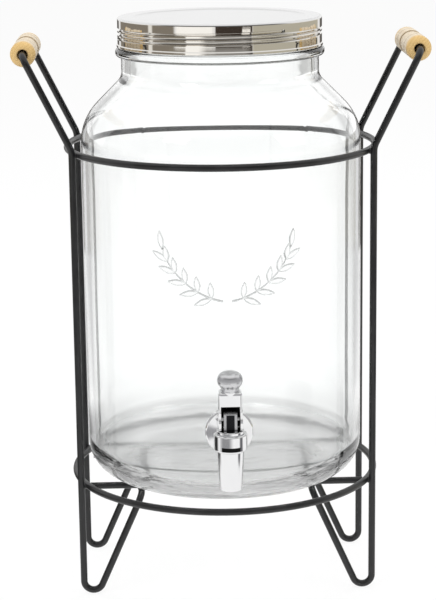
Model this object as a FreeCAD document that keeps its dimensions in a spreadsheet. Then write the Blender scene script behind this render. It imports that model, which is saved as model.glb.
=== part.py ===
import FreeCAD, Part
import math
import os

import Sketcher
from FreeCAD import Placement, Rotation, Vector

# A glass drinks jar with a screw lid and a lever tap, standing in a welded wire
# frame with two turned wooden grips. Millimetres, +Z up. The origin is on the
# table under the middle of the jar, and the tap points along -Y.

document = FreeCAD.newDocument("DrinksDispenser")

# Driving dimensions. Each one has its own cell, and every piece reads it from there.
sheet = document.addObject("Spreadsheet::Sheet", "Sizes")
DRIVING_SIZES = [
    # Wire stand
    ("wire_diameter", 5.0),
    ("weld_gap", 0.05),
    ("ring_radius", 112.0),
    ("upper_ring_height", 327.5),
    ("lower_ring_height", 83.0),
    ("leg_spacing", 96.0),
    ("foot_bend_radius", 7.0),
    ("strut_angle", 24.0),
    ("strut_bend_radius", 8.0),
    ("handle_angle", 26.1),
    ("handle_bend_rise", 3.0),
    ("handle_bend_radius", 14.0),
    ("grip_height", 398.0),
    ("grip_bend_radius", 8.0),
    ("cross_bar_length", 201.0),
    ("cross_bar_spacing", 76.0),
    # Turned wooden grips
    ("grip_length", 76.0),
    ("grip_diameter", 18.0),
    ("grip_end_radius", 4.6),
    ("grip_ring_width", 11.0),
    ("grip_ring_diameter", 16.6),
    ("grip_groove_width", 1.8),
    ("grip_groove_depth", 1.5),
    ("grip_running_gap", 0.08),
    ("grip_mouth_diameter", 7.6),
    ("grip_mouth_depth", 6.0),
    # Glass jar
    ("jar_radius", 102.0),
    ("jar_seat_height", 82.5),
    ("jar_height", 336.2),
    ("glass_wall", 4.5),
    ("glass_floor", 9.0),
    ("push_up", 1.6),
    ("push_up_radius", 66.0),
    ("heel_radius", 24.0),
    ("neck_straight", 15.3),
    ("shoulder_radius", 40.0),
    ("neck_radius", 71.5),
    ("neck_blend_radius", 10.0),
    ("mouth_radius", 66.0),
    ("finish_radius", 71.0),
    ("bead_radius", 75.5),
    ("bead_thickness", 6.0),
    ("bead_drop", 20.3),
    ("thread_lead", 6.2),
    ("glass_thread_depth", 1.5),
    ("glass_thread_turns", 1.2),
    ("glass_thread_width", 1.9),
    ("thread_seat", 1.25),
    # Screw lid and its liner
    ("lid_radius", 73.7),
    ("lid_height", 21.4),
    ("lid_metal", 0.5),
    ("lid_corner_radius", 1.6),
    ("lid_panel_radius", 61.0),
    ("lid_panel_drop", 0.6),
    ("lid_panel_slope", 1.0),
    ("lid_thread_floor", 6.6),
    ("lid_thread_width", 2.4),
    ("lid_thread_depth", 1.7),
    ("lid_thread_turns", 1.35),
    ("hem_height", 1.8),
    ("hem_thickness", 0.7),
    ("liner_thickness", 1.2),
    ("liner_radius", 71.4),
    ("liner_gap", 0.05),
    # Tap, seals and nut
    ("tap_height", 140.0),
    ("tap_reach", 130.0),
    ("spout_length", 33.4),
    ("spout_top_radius", 9.4),
    ("spout_end_radius", 7.8),
    ("outlet_radius", 6.0),
    ("outlet_depth", 20.0),
    ("orifice_radius", 4.5),
    ("seat_drop", 7.0),
    ("chamber_radius", 7.2),
    ("collar_radius", 11.6),
    ("collar_top", 6.6),
    ("collar_bottom", 4.6),
    ("arm_radius", 6.4),
    ("tap_flange_radius", 17.0),
    ("tap_flange_thickness", 3.0),
    ("shank_radius", 7.9),
    ("shank_length", 22.0),
    ("inlet_radius", 4.0),
    ("shank_thread_pitch", 2.0),
    ("shank_thread_depth", 0.8),
    ("hole_gap", 0.35),
    ("outer_gasket_thickness", 2.4),
    ("gasket_radius", 15.5),
    ("inner_gasket_thickness", 2.0),
    ("nut_radius", 14.5),
    ("nut_thickness", 6.0),
    ("running_gap", 0.05),
    # Valve inside the tap
    ("bonnet_radius", 9.6),
    ("bonnet_thickness", 2.4),
    ("bonnet_plug_length", 5.5),
    ("spring_pocket_radius", 5.2),
    ("stem_radius", 2.0),
    ("stem_flange_radius", 4.6),
    ("stem_flange_thickness", 0.8),
    ("seat_radius", 6.3),
    ("seat_thickness", 3.6),
    ("o_ring_section", 1.2),
    ("o_ring_groove_depth", 1.35),
    ("spring_wire", 0.7),
    ("spring_radius", 3.7),
    ("spring_turns", 5.0),
    # Lever with its pin
    ("pin_height", 16.6),
    ("pin_diameter", 3.0),
    ("lever_swing", 75.0),
    ("stem_lift", 4.0),
    ("cam_gap", 0.15),
    ("fork_width", 16.4),
    ("fork_slot_width", 13.0),
    ("fork_slot_top", 26.4),
    ("fork_depth", 10.0),
    ("hood_wall", 1.2),
    ("hood_clearance", 0.4),
    ("stem_head_width", 9.2),
    ("stem_head_depth", 7.0),
    ("stem_head_top", 22.0),
    ("stem_head_bottom", 9.4),
    ("neck_height", 36.5),
    ("lever_neck_radius", 5.7),
    ("knob_radius", 8.8),
    ("lever_top", 50.6),
]
for row, (alias, number) in enumerate(DRIVING_SIZES, start=1):
    cell = "B%d" % row
    sheet.set("A%d" % row, alias.replace("_", " "))
    sheet.set(cell, str(number))
    sheet.setAlias(cell, alias)
document.recompute()


class Size:
    """A length or angle with its value and the sheet formula that gives it."""

    def __init__(self, value, formula):
        self.value = float(value)
        self.formula = formula

    def __float__(self):
        return self.value

    def __add__(self, other):
        other = as_size(other)
        return Size(self.value + other.value, "(%s + %s)" % (self.formula, other.formula))

    def __sub__(self, other):
        other = as_size(other)
        return Size(self.value - other.value, "(%s - %s)" % (self.formula, other.formula))

    def __mul__(self, other):
        other = as_size(other)
        return Size(self.value * other.value, "(%s * %s)" % (self.formula, other.formula))

    def __truediv__(self, other):
        other = as_size(other)
        return Size(self.value / other.value, "(%s / %s)" % (self.formula, other.formula))

    def __neg__(self):
        return Size(-self.value, "(-1 * %s)" % self.formula)

    def __radd__(self, other):
        return as_size(other) + self

    def __rsub__(self, other):
        return as_size(other) - self

    def __rmul__(self, other):
        return as_size(other) * self


def as_size(number):
    if isinstance(number, Size):
        return number
    return Size(number, repr(float(number)))


def size(alias):
    return Size(getattr(sheet, alias), "Sizes." + alias)


def sine(angle):
    return Size(math.sin(math.radians(float(angle))), "sin(%s * 1 deg)" % angle.formula)


def cosine(angle):
    return Size(math.cos(math.radians(float(angle))), "cos(%s * 1 deg)" % angle.formula)


def tangent(angle):
    return Size(math.tan(math.radians(float(angle))), "tan(%s * 1 deg)" % angle.formula)


def root(number):
    return Size(math.sqrt(float(number)), "sqrt(%s)" % number.formula)


def bind(thing, name, amount):
    thing.setExpression(name, as_size(amount).formula)


# Bodies and sketches
def new_body(label):
    body = document.addObject("PartDesign::Body", label)
    body.Label = label
    return body


def new_sketch(body, role, name):
    sketch = body.newObject("Sketcher::SketchObject", name)
    for plane in body.Origin.OriginFeatures:
        if plane.Role == role:
            sketch.AttachmentSupport = (plane, [""])
    sketch.MapMode = "FlatFace"
    return sketch


def pin_point(sketch, line, across, up):
    """Tie the start of a line to its place, measured from the sketch origin."""
    for kind, axis_line, amount in (("DistanceX", -2, across), ("DistanceY", -1, up)):
        if not isinstance(amount, Size):
            sketch.addConstraint(Sketcher.Constraint("PointOnObject", line, 1, axis_line))
            continue
        index = sketch.addConstraint(Sketcher.Constraint(kind, -1, 1, line, 1, float(amount)))
        name = "%s%d" % (kind, line)
        sketch.renameConstraint(index, name)
        sketch.setExpression("Constraints." + name, amount.formula)


def outline(sketch, corners):
    """Draw a closed outline of straight lines. A plain 0 puts a corner on that axis."""
    count = len(corners)
    points = [Vector(float(across), float(up), 0) for across, up in corners]
    for index in range(count):
        sketch.addGeometry(Part.LineSegment(points[index], points[(index + 1) % count]))
    for index in range(count):
        sketch.addConstraint(Sketcher.Constraint("Coincident", index, 2, (index + 1) % count, 1))
    for index, (across, up) in enumerate(corners):
        pin_point(sketch, index, across, up)


def circle(sketch, radius, up=0):
    """Draw a circle on the vertical sketch axis."""
    index = sketch.addGeometry(Part.Circle(Vector(0, float(up), 0), Vector(0, 0, 1), float(radius)))
    sketch.addConstraint(Sketcher.Constraint("PointOnObject", index, 3, -2))
    if isinstance(up, Size):
        place = sketch.addConstraint(Sketcher.Constraint("DistanceY", -1, 1, index, 3, float(up)))
        sketch.renameConstraint(place, "Up%d" % index)
        sketch.setExpression("Constraints.Up%d" % index, up.formula)
    else:
        sketch.addConstraint(Sketcher.Constraint("PointOnObject", index, 3, -1))
    width = sketch.addConstraint(Sketcher.Constraint("Radius", index, float(radius)))
    sketch.renameConstraint(width, "Radius%d" % index)
    sketch.setExpression("Constraints.Radius%d" % index, as_size(radius).formula)


def turned(body, name, corners, cut=False, lying=False):
    """Revolve an outline about Z, or about Y when it lies in the YZ plane."""
    sketch = new_sketch(body, "YZ_Plane" if lying else "XZ_Plane", name + "_outline")
    outline(sketch, corners)
    kind = "PartDesign::Groove" if cut else "PartDesign::Revolution"
    feature = body.newObject(kind, name)
    feature.Profile = sketch
    feature.ReferenceAxis = (sketch, ["H_Axis" if lying else "V_Axis"])
    feature.Angle = 360
    return feature


def helical(body, name, corners, pitch, turns, cut=False, lying=False):
    """Sweep an outline along a helix about Z, or about Y when it lies in the YZ plane."""
    sketch = new_sketch(body, "YZ_Plane" if lying else "XZ_Plane", name + "_outline")
    outline(sketch, corners)
    kind = "PartDesign::SubtractiveHelix" if cut else "PartDesign::AdditiveHelix"
    feature = body.newObject(kind, name)
    feature.Profile = sketch
    feature.ReferenceAxis = (sketch, ["H_Axis" if lying else "V_Axis"])
    feature.Mode = "pitch-turns-angle"
    bind(feature, "Pitch", pitch)
    bind(feature, "Turns", turns)
    return feature


def rings_at(feature, places):
    """Names of the circular edges at the given radii and distances along their axis."""
    names = []
    for number, edge in enumerate(feature.Shape.Edges, start=1):
        if not isinstance(edge.Curve, Part.Circle):
            continue
        along_axis = edge.Curve.Center.dot(edge.Curve.Axis) * (edge.Curve.Axis.y + edge.Curve.Axis.z)
        for radius, distance in places:
            near = abs(along_axis - float(distance)) < 0.01
            if near and abs(edge.Curve.Radius - float(radius)) < 0.01:
                names.append("Edge%d" % number)
    return names


def round_rings(body, base, name, places, radius):
    """Round the circular edges of a turned feature."""
    document.recompute()
    fillet = body.newObject("PartDesign::Fillet", name)
    fillet.Base = (base, rings_at(base, places))
    bind(fillet, "Radius", radius)
    return fillet


def place(thing, across=0, along=0, up=0):
    """Set where a piece stands, from the same values as its neighbours."""
    for letter, amount in (("x", across), ("y", along), ("z", up)):
        if isinstance(amount, Size):
            bind(thing, "Placement.Base." + letter, amount)


def solid_feature(label, shape, placement=None):
    """Hold a shape that the code made from the sheet's sizes."""
    feature = document.addObject("Part::Feature", label)
    feature.Label = label
    feature.Shape = shape
    if placement is not None:
        feature.Placement = placement
    return feature


# Wire frame: two rings, two bent side loops and two bars under the jar
wire = size("wire_diameter")
weld = wire + size("weld_gap")
leg_y = size("leg_spacing") / 2
leg_x = root((size("ring_radius") + weld) * (size("ring_radius") + weld) - leg_y * leg_y)
bar_height = size("jar_seat_height") - wire / 2
run_height = bar_height - weld


def stand_ring(label, height):
    ring = document.addObject("Part::Torus", label)
    ring.Label = label
    bind(ring, "Radius1", size("ring_radius"))
    bind(ring, "Radius2", wire / 2)
    place(ring, up=height)
    return ring


def bend(before, corner, after, radius):
    """The two ends and the middle of the arc that rounds a corner of a wire."""
    back = (before - corner).normalize()
    ahead = (after - corner).normalize()
    half_turn = back.getAngle(ahead) / 2
    reach = radius / math.tan(half_turn)
    inward = (back + ahead).normalize()
    centre = corner + inward * (radius / math.sin(half_turn))
    return corner + back * reach, centre - inward * radius, corner + ahead * reach


def bent_wire(corners, radii, diameter):
    """A round wire along straight runs joined by tangent bends."""
    edges = []
    start = corners[0]
    for index in range(1, len(corners) - 1):
        first, middle, last = bend(corners[index - 1], corners[index], corners[index + 1], radii[index - 1])
        edges.append(Part.LineSegment(start, first).toShape())
        edges.append(Part.Arc(first, middle, last).toShape())
        start = last
    edges.append(Part.LineSegment(start, corners[-1]).toShape())
    path = Part.Wire(edges)
    direction = (corners[1] - corners[0]).normalize()
    section = Part.Wire([Part.makeCircle(diameter / 2, corners[0], direction)])
    return path.makePipeShell([section], True, False)


def side_frame(label, side):
    """One wire: over the handle, down two legs, round two feet and under the jar."""
    radius = float(wire) / 2
    strut = math.tan(math.radians(float(size("strut_angle"))))
    half_strut = math.radians(float(size("strut_angle"))) / 2
    foot_rise = radius + float(size("foot_bend_radius"))
    foot_corner = foot_rise - float(size("foot_bend_radius")) / math.tan(half_strut)
    bend_height = float(size("upper_ring_height")) + float(size("handle_bend_rise"))
    handle = math.tan(math.radians(float(size("handle_angle"))))
    top_x = float(leg_x) + (float(size("grip_height")) - bend_height) * handle
    run_x = float(leg_x) - (float(run_height) - foot_corner) * strut
    depth = float(leg_y)
    half = [
        Vector(side * top_x, 0, float(size("grip_height"))),
        Vector(side * top_x, -depth, float(size("grip_height"))),
        Vector(side * float(leg_x), -depth, bend_height),
        Vector(side * float(leg_x), -depth, foot_corner),
        Vector(side * run_x, -depth, float(run_height)),
        Vector(side * run_x, 0, float(run_height)),
    ]
    bends = ["grip_bend_radius", "handle_bend_radius", "foot_bend_radius", "strut_bend_radius"]
    front = bent_wire(half, [float(size(name)) for name in bends], float(wire))
    rear = front.mirror(Vector(0, 0, 0), Vector(0, 1, 0))
    return solid_feature(label, front.fuse(rear).removeSplitter())


def cross_bar(label, side):
    bar = document.addObject("Part::Cylinder", label)
    bar.Label = label
    bar.Placement = Placement(Vector(0, 0, 0), Rotation(Vector(0, 1, 0), 90))
    bind(bar, "Radius", wire / 2)
    bind(bar, "Height", size("cross_bar_length"))
    place(bar, -size("cross_bar_length") / 2, side * (size("cross_bar_spacing") / 2), bar_height)
    return bar


upper_ring = stand_ring("upper_ring", size("upper_ring_height"))
lower_ring = stand_ring("lower_ring", size("lower_ring_height"))
left_side_frame = side_frame("left_side_frame", -1)
right_side_frame = side_frame("right_side_frame", 1)
front_cross_bar = cross_bar("front_cross_bar", -1)
rear_cross_bar = cross_bar("rear_cross_bar", 1)


# Turned wooden grips, each free to turn on its wire
def grip(label, side):
    body = new_body(label)
    half = size("grip_length") / 2
    outer = size("grip_diameter") / 2
    ring_half = size("grip_ring_width") / 2
    ring_outer = size("grip_ring_diameter") / 2
    groove_outer = outer - size("grip_groove_depth")
    groove_end = ring_half + size("grip_groove_width")
    bore = wire / 2 + size("grip_running_gap")
    mouth = size("grip_mouth_diameter") / 2
    bore_end = half - size("grip_mouth_depth")
    wood = turned(body, label + "_turning", [
        (bore, -bore_end),
        (mouth, -half),
        (outer, -half),
        (outer, -groove_end),
        (groove_outer, -(ring_half + size("grip_groove_width") / 2)),
        (ring_outer, -ring_half),
        (ring_outer, ring_half),
        (groove_outer, ring_half + size("grip_groove_width") / 2),
        (outer, groove_end),
        (outer, half),
        (mouth, half),
        (bore, bore_end),
    ])
    round_rings(body, wood, label + "_ends", [(outer, half), (outer, -half)], size("grip_end_radius"))
    body.Placement = Placement(Vector(0, 0, 0), Rotation(Vector(1, 0, 0), 90))
    rise = size("grip_height") - size("upper_ring_height") - size("handle_bend_rise")
    place(body, side * (leg_x + rise * tangent(size("handle_angle"))), 0, size("grip_height"))
    return body


left_grip = grip("left_grip", -1)
right_grip = grip("right_grip", 1)


# Height of the lid's lower edge above the glass rim, below 0 because the skirt hangs
lid_rise = size("liner_thickness") + size("lid_metal") - size("lid_height")


# Glass jar, turned in one outline and then rounded
def glass_jar():
    body = new_body("glass_jar")
    wall = size("glass_wall")
    top = size("jar_height")
    half_slope = tangent(as_size(22.5))
    bead_top = top - size("bead_drop")
    bead_bottom = bead_top - size("bead_thickness")
    neck_corner = bead_bottom - size("neck_straight")
    corner = neck_corner - (size("jar_radius") - size("neck_radius"))
    inner = size("jar_radius") - wall
    inner_corner = corner - wall * half_slope
    mouth_corner = inner_corner + inner - size("mouth_radius")
    glass = turned(body, "glass_shell", [
        (0, size("push_up")),
        (size("push_up_radius"), size("push_up")),
        (size("push_up_radius") + 2 * size("push_up"), 0),
        (size("jar_radius"), 0),
        (size("jar_radius"), corner),
        (size("neck_radius"), neck_corner),
        (size("neck_radius"), bead_bottom),
        (size("bead_radius"), bead_bottom),
        (size("bead_radius"), bead_top),
        (size("finish_radius"), bead_top),
        (size("finish_radius"), top),
        (size("mouth_radius"), top),
        (size("mouth_radius"), mouth_corner),
        (inner, inner_corner),
        (inner, size("glass_floor")),
        (0, size("glass_floor")),
    ])
    rounds = [
        ("outer_shoulder", [(size("jar_radius"), corner)], size("shoulder_radius")),
        ("inner_shoulder", [(inner, inner_corner)], size("shoulder_radius") - wall),
        ("outer_neck", [(size("neck_radius"), neck_corner)], size("neck_blend_radius")),
        ("inner_neck", [(size("mouth_radius"), mouth_corner)], size("neck_blend_radius") + wall),
        ("outer_heel", [(size("jar_radius"), 0)], size("heel_radius")),
        ("inner_heel", [(inner, size("glass_floor"))], size("heel_radius") - wall),
        ("bead_round", [(size("bead_radius"), bead_bottom), (size("bead_radius"), bead_top)],
         size("bead_thickness") * 0.4),
        ("rim_round", [(size("finish_radius"), top), (size("mouth_radius"), top)],
         (size("finish_radius") - size("mouth_radius")) * 0.3),
    ]
    for name, places, radius in rounds:
        glass = round_rings(body, glass, name, places, radius)
    # Two starts of glass thread, each just above the thread that the lid hooks under it
    start = top + lid_rise + size("lid_thread_floor") + size("thread_seat") - size("thread_lead") / 2
    half_thread = size("glass_thread_width") / 2
    thread_root = size("finish_radius") - size("glass_thread_depth") / 2
    crest = size("finish_radius") + size("glass_thread_depth")
    for name, side in (("first_glass_thread", 1), ("second_glass_thread", -1)):
        helical(body, name, [
            (side * thread_root, start - half_thread),
            (side * crest, start - half_thread * 0.4),
            (side * crest, start + half_thread * 0.4),
            (side * thread_root, start + half_thread),
        ], size("thread_lead"), size("glass_thread_turns"))
    # Round hole for the shank of the tap, in the front wall only
    hole = new_sketch(body, "XZ_Plane", "tap_hole_outline")
    circle(hole, size("shank_radius") + size("hole_gap"), size("tap_height") - size("jar_seat_height"))
    document.recompute()
    before = body.Shape.Volume
    pocket = body.newObject("PartDesign::Pocket", "tap_hole")
    pocket.Profile = hole
    pocket.Type = "ThroughAll"
    pocket.Reversed = True
    document.recompute()
    if body.Shape.Volume >= before:
        raise ValueError("the tap hole cut nothing")
    place(body, up=size("jar_seat_height"))
    return body


jar = glass_jar()


# Screw lid of thin sheet metal, drawn in one piece, with a soft liner under its top
lid_floor = size("jar_seat_height") + size("jar_height") + lid_rise


def lid_cap():
    body = new_body("lid_cap")
    metal = size("lid_metal")
    outer = size("lid_radius")
    top = size("lid_height")
    panel = size("lid_panel_radius")
    slope = panel + size("lid_panel_slope")
    drop = size("lid_panel_drop")
    hem = outer + size("hem_thickness")
    shell = turned(body, "lid_shell", [
        (0, top - drop),
        (panel, top - drop),
        (slope, top),
        (outer, top),
        (outer, size("hem_height") + size("hem_thickness")),
        (hem, size("hem_height")),
        (hem, 0),
        (outer - metal, 0),
        (outer - metal, top - metal),
        (slope, top - metal),
        (panel, top - drop - metal),
        (0, top - drop - metal),
    ])
    corner = size("lid_corner_radius")
    shell = round_rings(body, shell, "outer_corner", [(outer, top)], corner)
    shell = round_rings(body, shell, "inner_corner", [(outer - metal, top - metal)], corner - metal)
    shell = round_rings(body, shell, "hem_round", [(hem, 0)], size("hem_thickness") * 0.8)
    # The rolled thread is a bead pushed in from outside, so each start is a ridge
    # on the inner wall and a groove of the same lead on the outer one
    start = size("lid_thread_floor")
    half = size("lid_thread_width") / 2
    depth = size("lid_thread_depth")
    for name, side in (("first", 1), ("second", -1)):
        helical(body, name + "_ridge", [
            (side * (outer - metal / 2), start - half),
            (side * (outer - metal - depth), start - half * 0.3),
            (side * (outer - metal - depth), start + half * 0.3),
            (side * (outer - metal / 2), start + half),
        ], size("thread_lead"), size("lid_thread_turns"))
    for name, side in (("first", 1), ("second", -1)):
        helical(body, name + "_groove", [
            (side * (outer + metal), start - half),
            (side * (outer - depth), start - half * 0.3),
            (side * (outer - depth), start + half * 0.3),
            (side * (outer + metal), start + half),
        ], size("thread_lead"), size("lid_thread_turns"), cut=True)
    place(body, up=lid_floor)
    return body


def lid_liner():
    body = new_body("lid_liner")
    top = size("lid_height") - size("lid_metal") - size("liner_gap")
    bottom = size("lid_height") - size("lid_metal") - size("liner_thickness")
    panel = size("lid_panel_radius")
    slope = panel + size("lid_panel_slope")
    drop = size("lid_panel_drop")
    turned(body, "liner_disc", [
        (0, bottom - drop),
        (panel, bottom - drop),
        (slope, bottom),
        (size("liner_radius"), bottom),
        (size("liner_radius"), top),
        (slope, top),
        (panel, top - drop),
        (0, top - drop),
    ])
    place(body, up=lid_floor)
    return body


cap = lid_cap()
liner = lid_liner()


# Lever tap. Its own origin is where the spout axis meets the shank axis.
flange_face = size("tap_reach") - size("jar_radius") - size("outer_gasket_thickness")
shank_end = flange_face + size("shank_length")
bonnet_top = size("collar_top") + size("bonnet_thickness")


def at_tap(thing, up=0):
    place(thing, 0, -size("tap_reach"), size("tap_height") + up)


def tap_body():
    body = new_body("tap_body")
    spout_end = -size("spout_length")
    collar = size("collar_radius")
    spout = turned(body, "spout_and_collar", [
        (0, spout_end),
        (size("spout_end_radius"), spout_end),
        (size("spout_top_radius"), -size("collar_bottom") - size("spout_top_radius") / 6),
        (collar, -size("collar_bottom")),
        (collar, size("collar_top")),
        (0, size("collar_top")),
    ])
    round_rings(body, spout, "collar_round", [
        (collar, size("collar_top")),
        (collar, -size("collar_bottom")),
    ], size("collar_radius") - size("bonnet_radius") - 1)
    arm = size("arm_radius")
    flange = size("tap_flange_radius")
    front = flange_face - size("tap_flange_thickness")
    shank = turned(body, "arm_flange_shank", [
        (0, 0),
        (0, arm),
        (front - arm / 3, arm),
        (front, arm * 1.3),
        (front + size("tap_flange_thickness") / 4, flange),
        (flange_face, flange),
        (flange_face, size("shank_radius")),
        (shank_end, size("shank_radius")),
        (shank_end, 0),
    ], lying=True)
    rim = [(flange, front + size("tap_flange_thickness") / 4)]
    round_rings(body, shank, "flange_round", rim, size("tap_flange_thickness") / 2)
    turned(body, "valve_chamber_and_outlet", [
        (0, spout_end),
        (size("outlet_radius"), spout_end),
        (size("outlet_radius"), spout_end + size("outlet_depth")),
        (size("orifice_radius"), spout_end + size("outlet_depth") + 1.5),
        (size("orifice_radius"), -size("seat_drop")),
        (size("chamber_radius"), -size("seat_drop")),
        (size("chamber_radius"), size("collar_top")),
        (0, size("collar_top")),
    ], cut=True)
    turned(body, "inlet", [
        (0, 0),
        (0, size("inlet_radius")),
        (shank_end, size("inlet_radius")),
        (shank_end, 0),
    ], cut=True, lying=True)
    pitch = size("shank_thread_pitch")
    start = flange_face + pitch * 1.5
    root_radius = size("shank_radius") - size("shank_thread_depth")
    helical(body, "shank_thread", [
        (start - pitch * 0.4, size("shank_radius") + pitch / 10),
        (start, root_radius),
        (start + pitch * 0.4, size("shank_radius") + pitch / 10),
    ], pitch, (size("shank_length") - pitch * 3) / pitch, cut=True, lying=True)
    at_tap(body)
    return body


def tap_bonnet():
    body = new_body("tap_bonnet")
    hole = size("stem_radius") + size("running_gap")
    plug = size("chamber_radius") - size("running_gap")
    plug_end = size("collar_top") - size("bonnet_plug_length")
    pocket_top = bonnet_top - size("bonnet_thickness") * 1.2
    cap_shape = turned(body, "bonnet_turning", [
        (size("spring_pocket_radius"), plug_end),
        (plug, plug_end),
        (plug, size("collar_top")),
        (size("bonnet_radius"), size("collar_top")),
        (size("bonnet_radius"), bonnet_top),
        (hole, bonnet_top),
        (hole, pocket_top),
        (size("spring_pocket_radius"), pocket_top),
    ])
    round_rings(body, cap_shape, "bonnet_round", [(size("bonnet_radius"), bonnet_top)],
                size("bonnet_thickness") / 4)
    ring_middle = bonnet_top - size("bonnet_thickness") * 0.6
    groove_half = size("o_ring_section") / 2 + size("running_gap")
    turned(body, "o_ring_groove", [
        (hole - size("running_gap"), ring_middle - groove_half),
        (hole + size("o_ring_groove_depth"), ring_middle - groove_half),
        (hole + size("o_ring_groove_depth"), ring_middle + groove_half),
        (hole - size("running_gap"), ring_middle + groove_half),
    ], cut=True)
    at_tap(body)
    return body


def stem_o_ring():
    ring = document.addObject("Part::Torus", "stem_o_ring")
    ring.Label = "stem_o_ring"
    section = size("o_ring_section")
    bind(ring, "Radius1", size("stem_radius") + section / 2 + size("running_gap") / 2)
    bind(ring, "Radius2", section / 2)
    at_tap(ring, bonnet_top - size("bonnet_thickness") * 0.6)
    return ring


seat_top = size("seat_thickness") - size("seat_drop")
stem_tip = size("seat_thickness") / 3 - size("seat_drop")


def centred_pad(body, name, corners, width):
    """Pad an outline of the YZ plane to both sides."""
    sketch = new_sketch(body, "YZ_Plane", name + "_outline")
    outline(sketch, corners)
    pad = body.newObject("PartDesign::Pad", name)
    pad.Profile = sketch
    pad.Midplane = True
    bind(pad, "Length", width)
    return pad


def pin_hole(body, name, radius, up):
    sketch = new_sketch(body, "YZ_Plane", name + "_outline")
    circle(sketch, radius, up)
    pocket = body.newObject("PartDesign::Pocket", name)
    pocket.Profile = sketch
    pocket.Type = "ThroughAll"
    pocket.Midplane = True
    return pocket


def tap_stem():
    body = new_body("tap_stem")
    rod = size("stem_radius")
    flange_top = seat_top + size("stem_flange_thickness")
    turned(body, "stem_rod", [
        (0, stem_tip),
        (rod, stem_tip),
        (rod, seat_top),
        (size("stem_flange_radius"), seat_top),
        (size("stem_flange_radius"), flange_top),
        (rod, flange_top),
        (rod, size("stem_head_bottom") + rod),
        (0, size("stem_head_bottom") + rod),
    ])
    half = size("stem_head_depth") / 2
    bevel = size("stem_head_depth") / 4
    centred_pad(body, "stem_head", [
        (-half, size("stem_head_bottom")),
        (half, size("stem_head_bottom")),
        (half, size("stem_head_top") - bevel),
        (half - bevel, size("stem_head_top")),
        (bevel - half, size("stem_head_top")),
        (-half, size("stem_head_top") - bevel),
    ], size("stem_head_width"))
    pin_hole(body, "stem_eye", size("pin_diameter") / 2 + size("running_gap"), size("pin_height"))
    at_tap(body)
    return body


def stem_seat():
    body = new_body("stem_seat")
    hole = size("stem_radius") + size("running_gap") / 2
    floor = -size("seat_drop")
    nose = size("orifice_radius") - 0.4
    turned(body, "seat_turning", [
        (0, floor - size("seat_thickness") / 3),
        (nose * 0.6, floor - size("seat_thickness") / 3),
        (nose, floor),
        (size("seat_radius"), floor),
        (size("seat_radius"), seat_top),
        (hole, seat_top),
        (hole, stem_tip - size("running_gap")),
        (0, stem_tip - size("running_gap")),
    ])
    at_tap(body)
    return body


def stem_spring():
    """One unbroken tube of wire wound between the stem flange and the bonnet."""
    radius = float(size("spring_radius"))
    thickness = float(size("spring_wire"))
    seat = float(seat_top + size("stem_flange_thickness") + size("running_gap"))
    pocket_top = float(bonnet_top - size("bonnet_thickness") * 1.2 - size("running_gap"))
    turns = float(size("spring_turns"))
    height = pocket_top - seat - thickness
    pitch = height / turns
    print("spring: gap between its curls is %.2f mm" % (pitch - thickness))
    helix = Part.makeHelix(pitch, height, radius)
    section = Part.Wire([Part.makeCircle(thickness / 2, Vector(radius, 0, 0), Vector(0, 1, 0))])
    coil = Part.Wire(helix.Edges).makePipeShell([section], True, True)
    base = Vector(0, -float(size("tap_reach")), float(size("tap_height")) + seat + thickness / 2)
    return solid_feature("stem_spring", coil, Placement(base, Rotation()))


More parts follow.
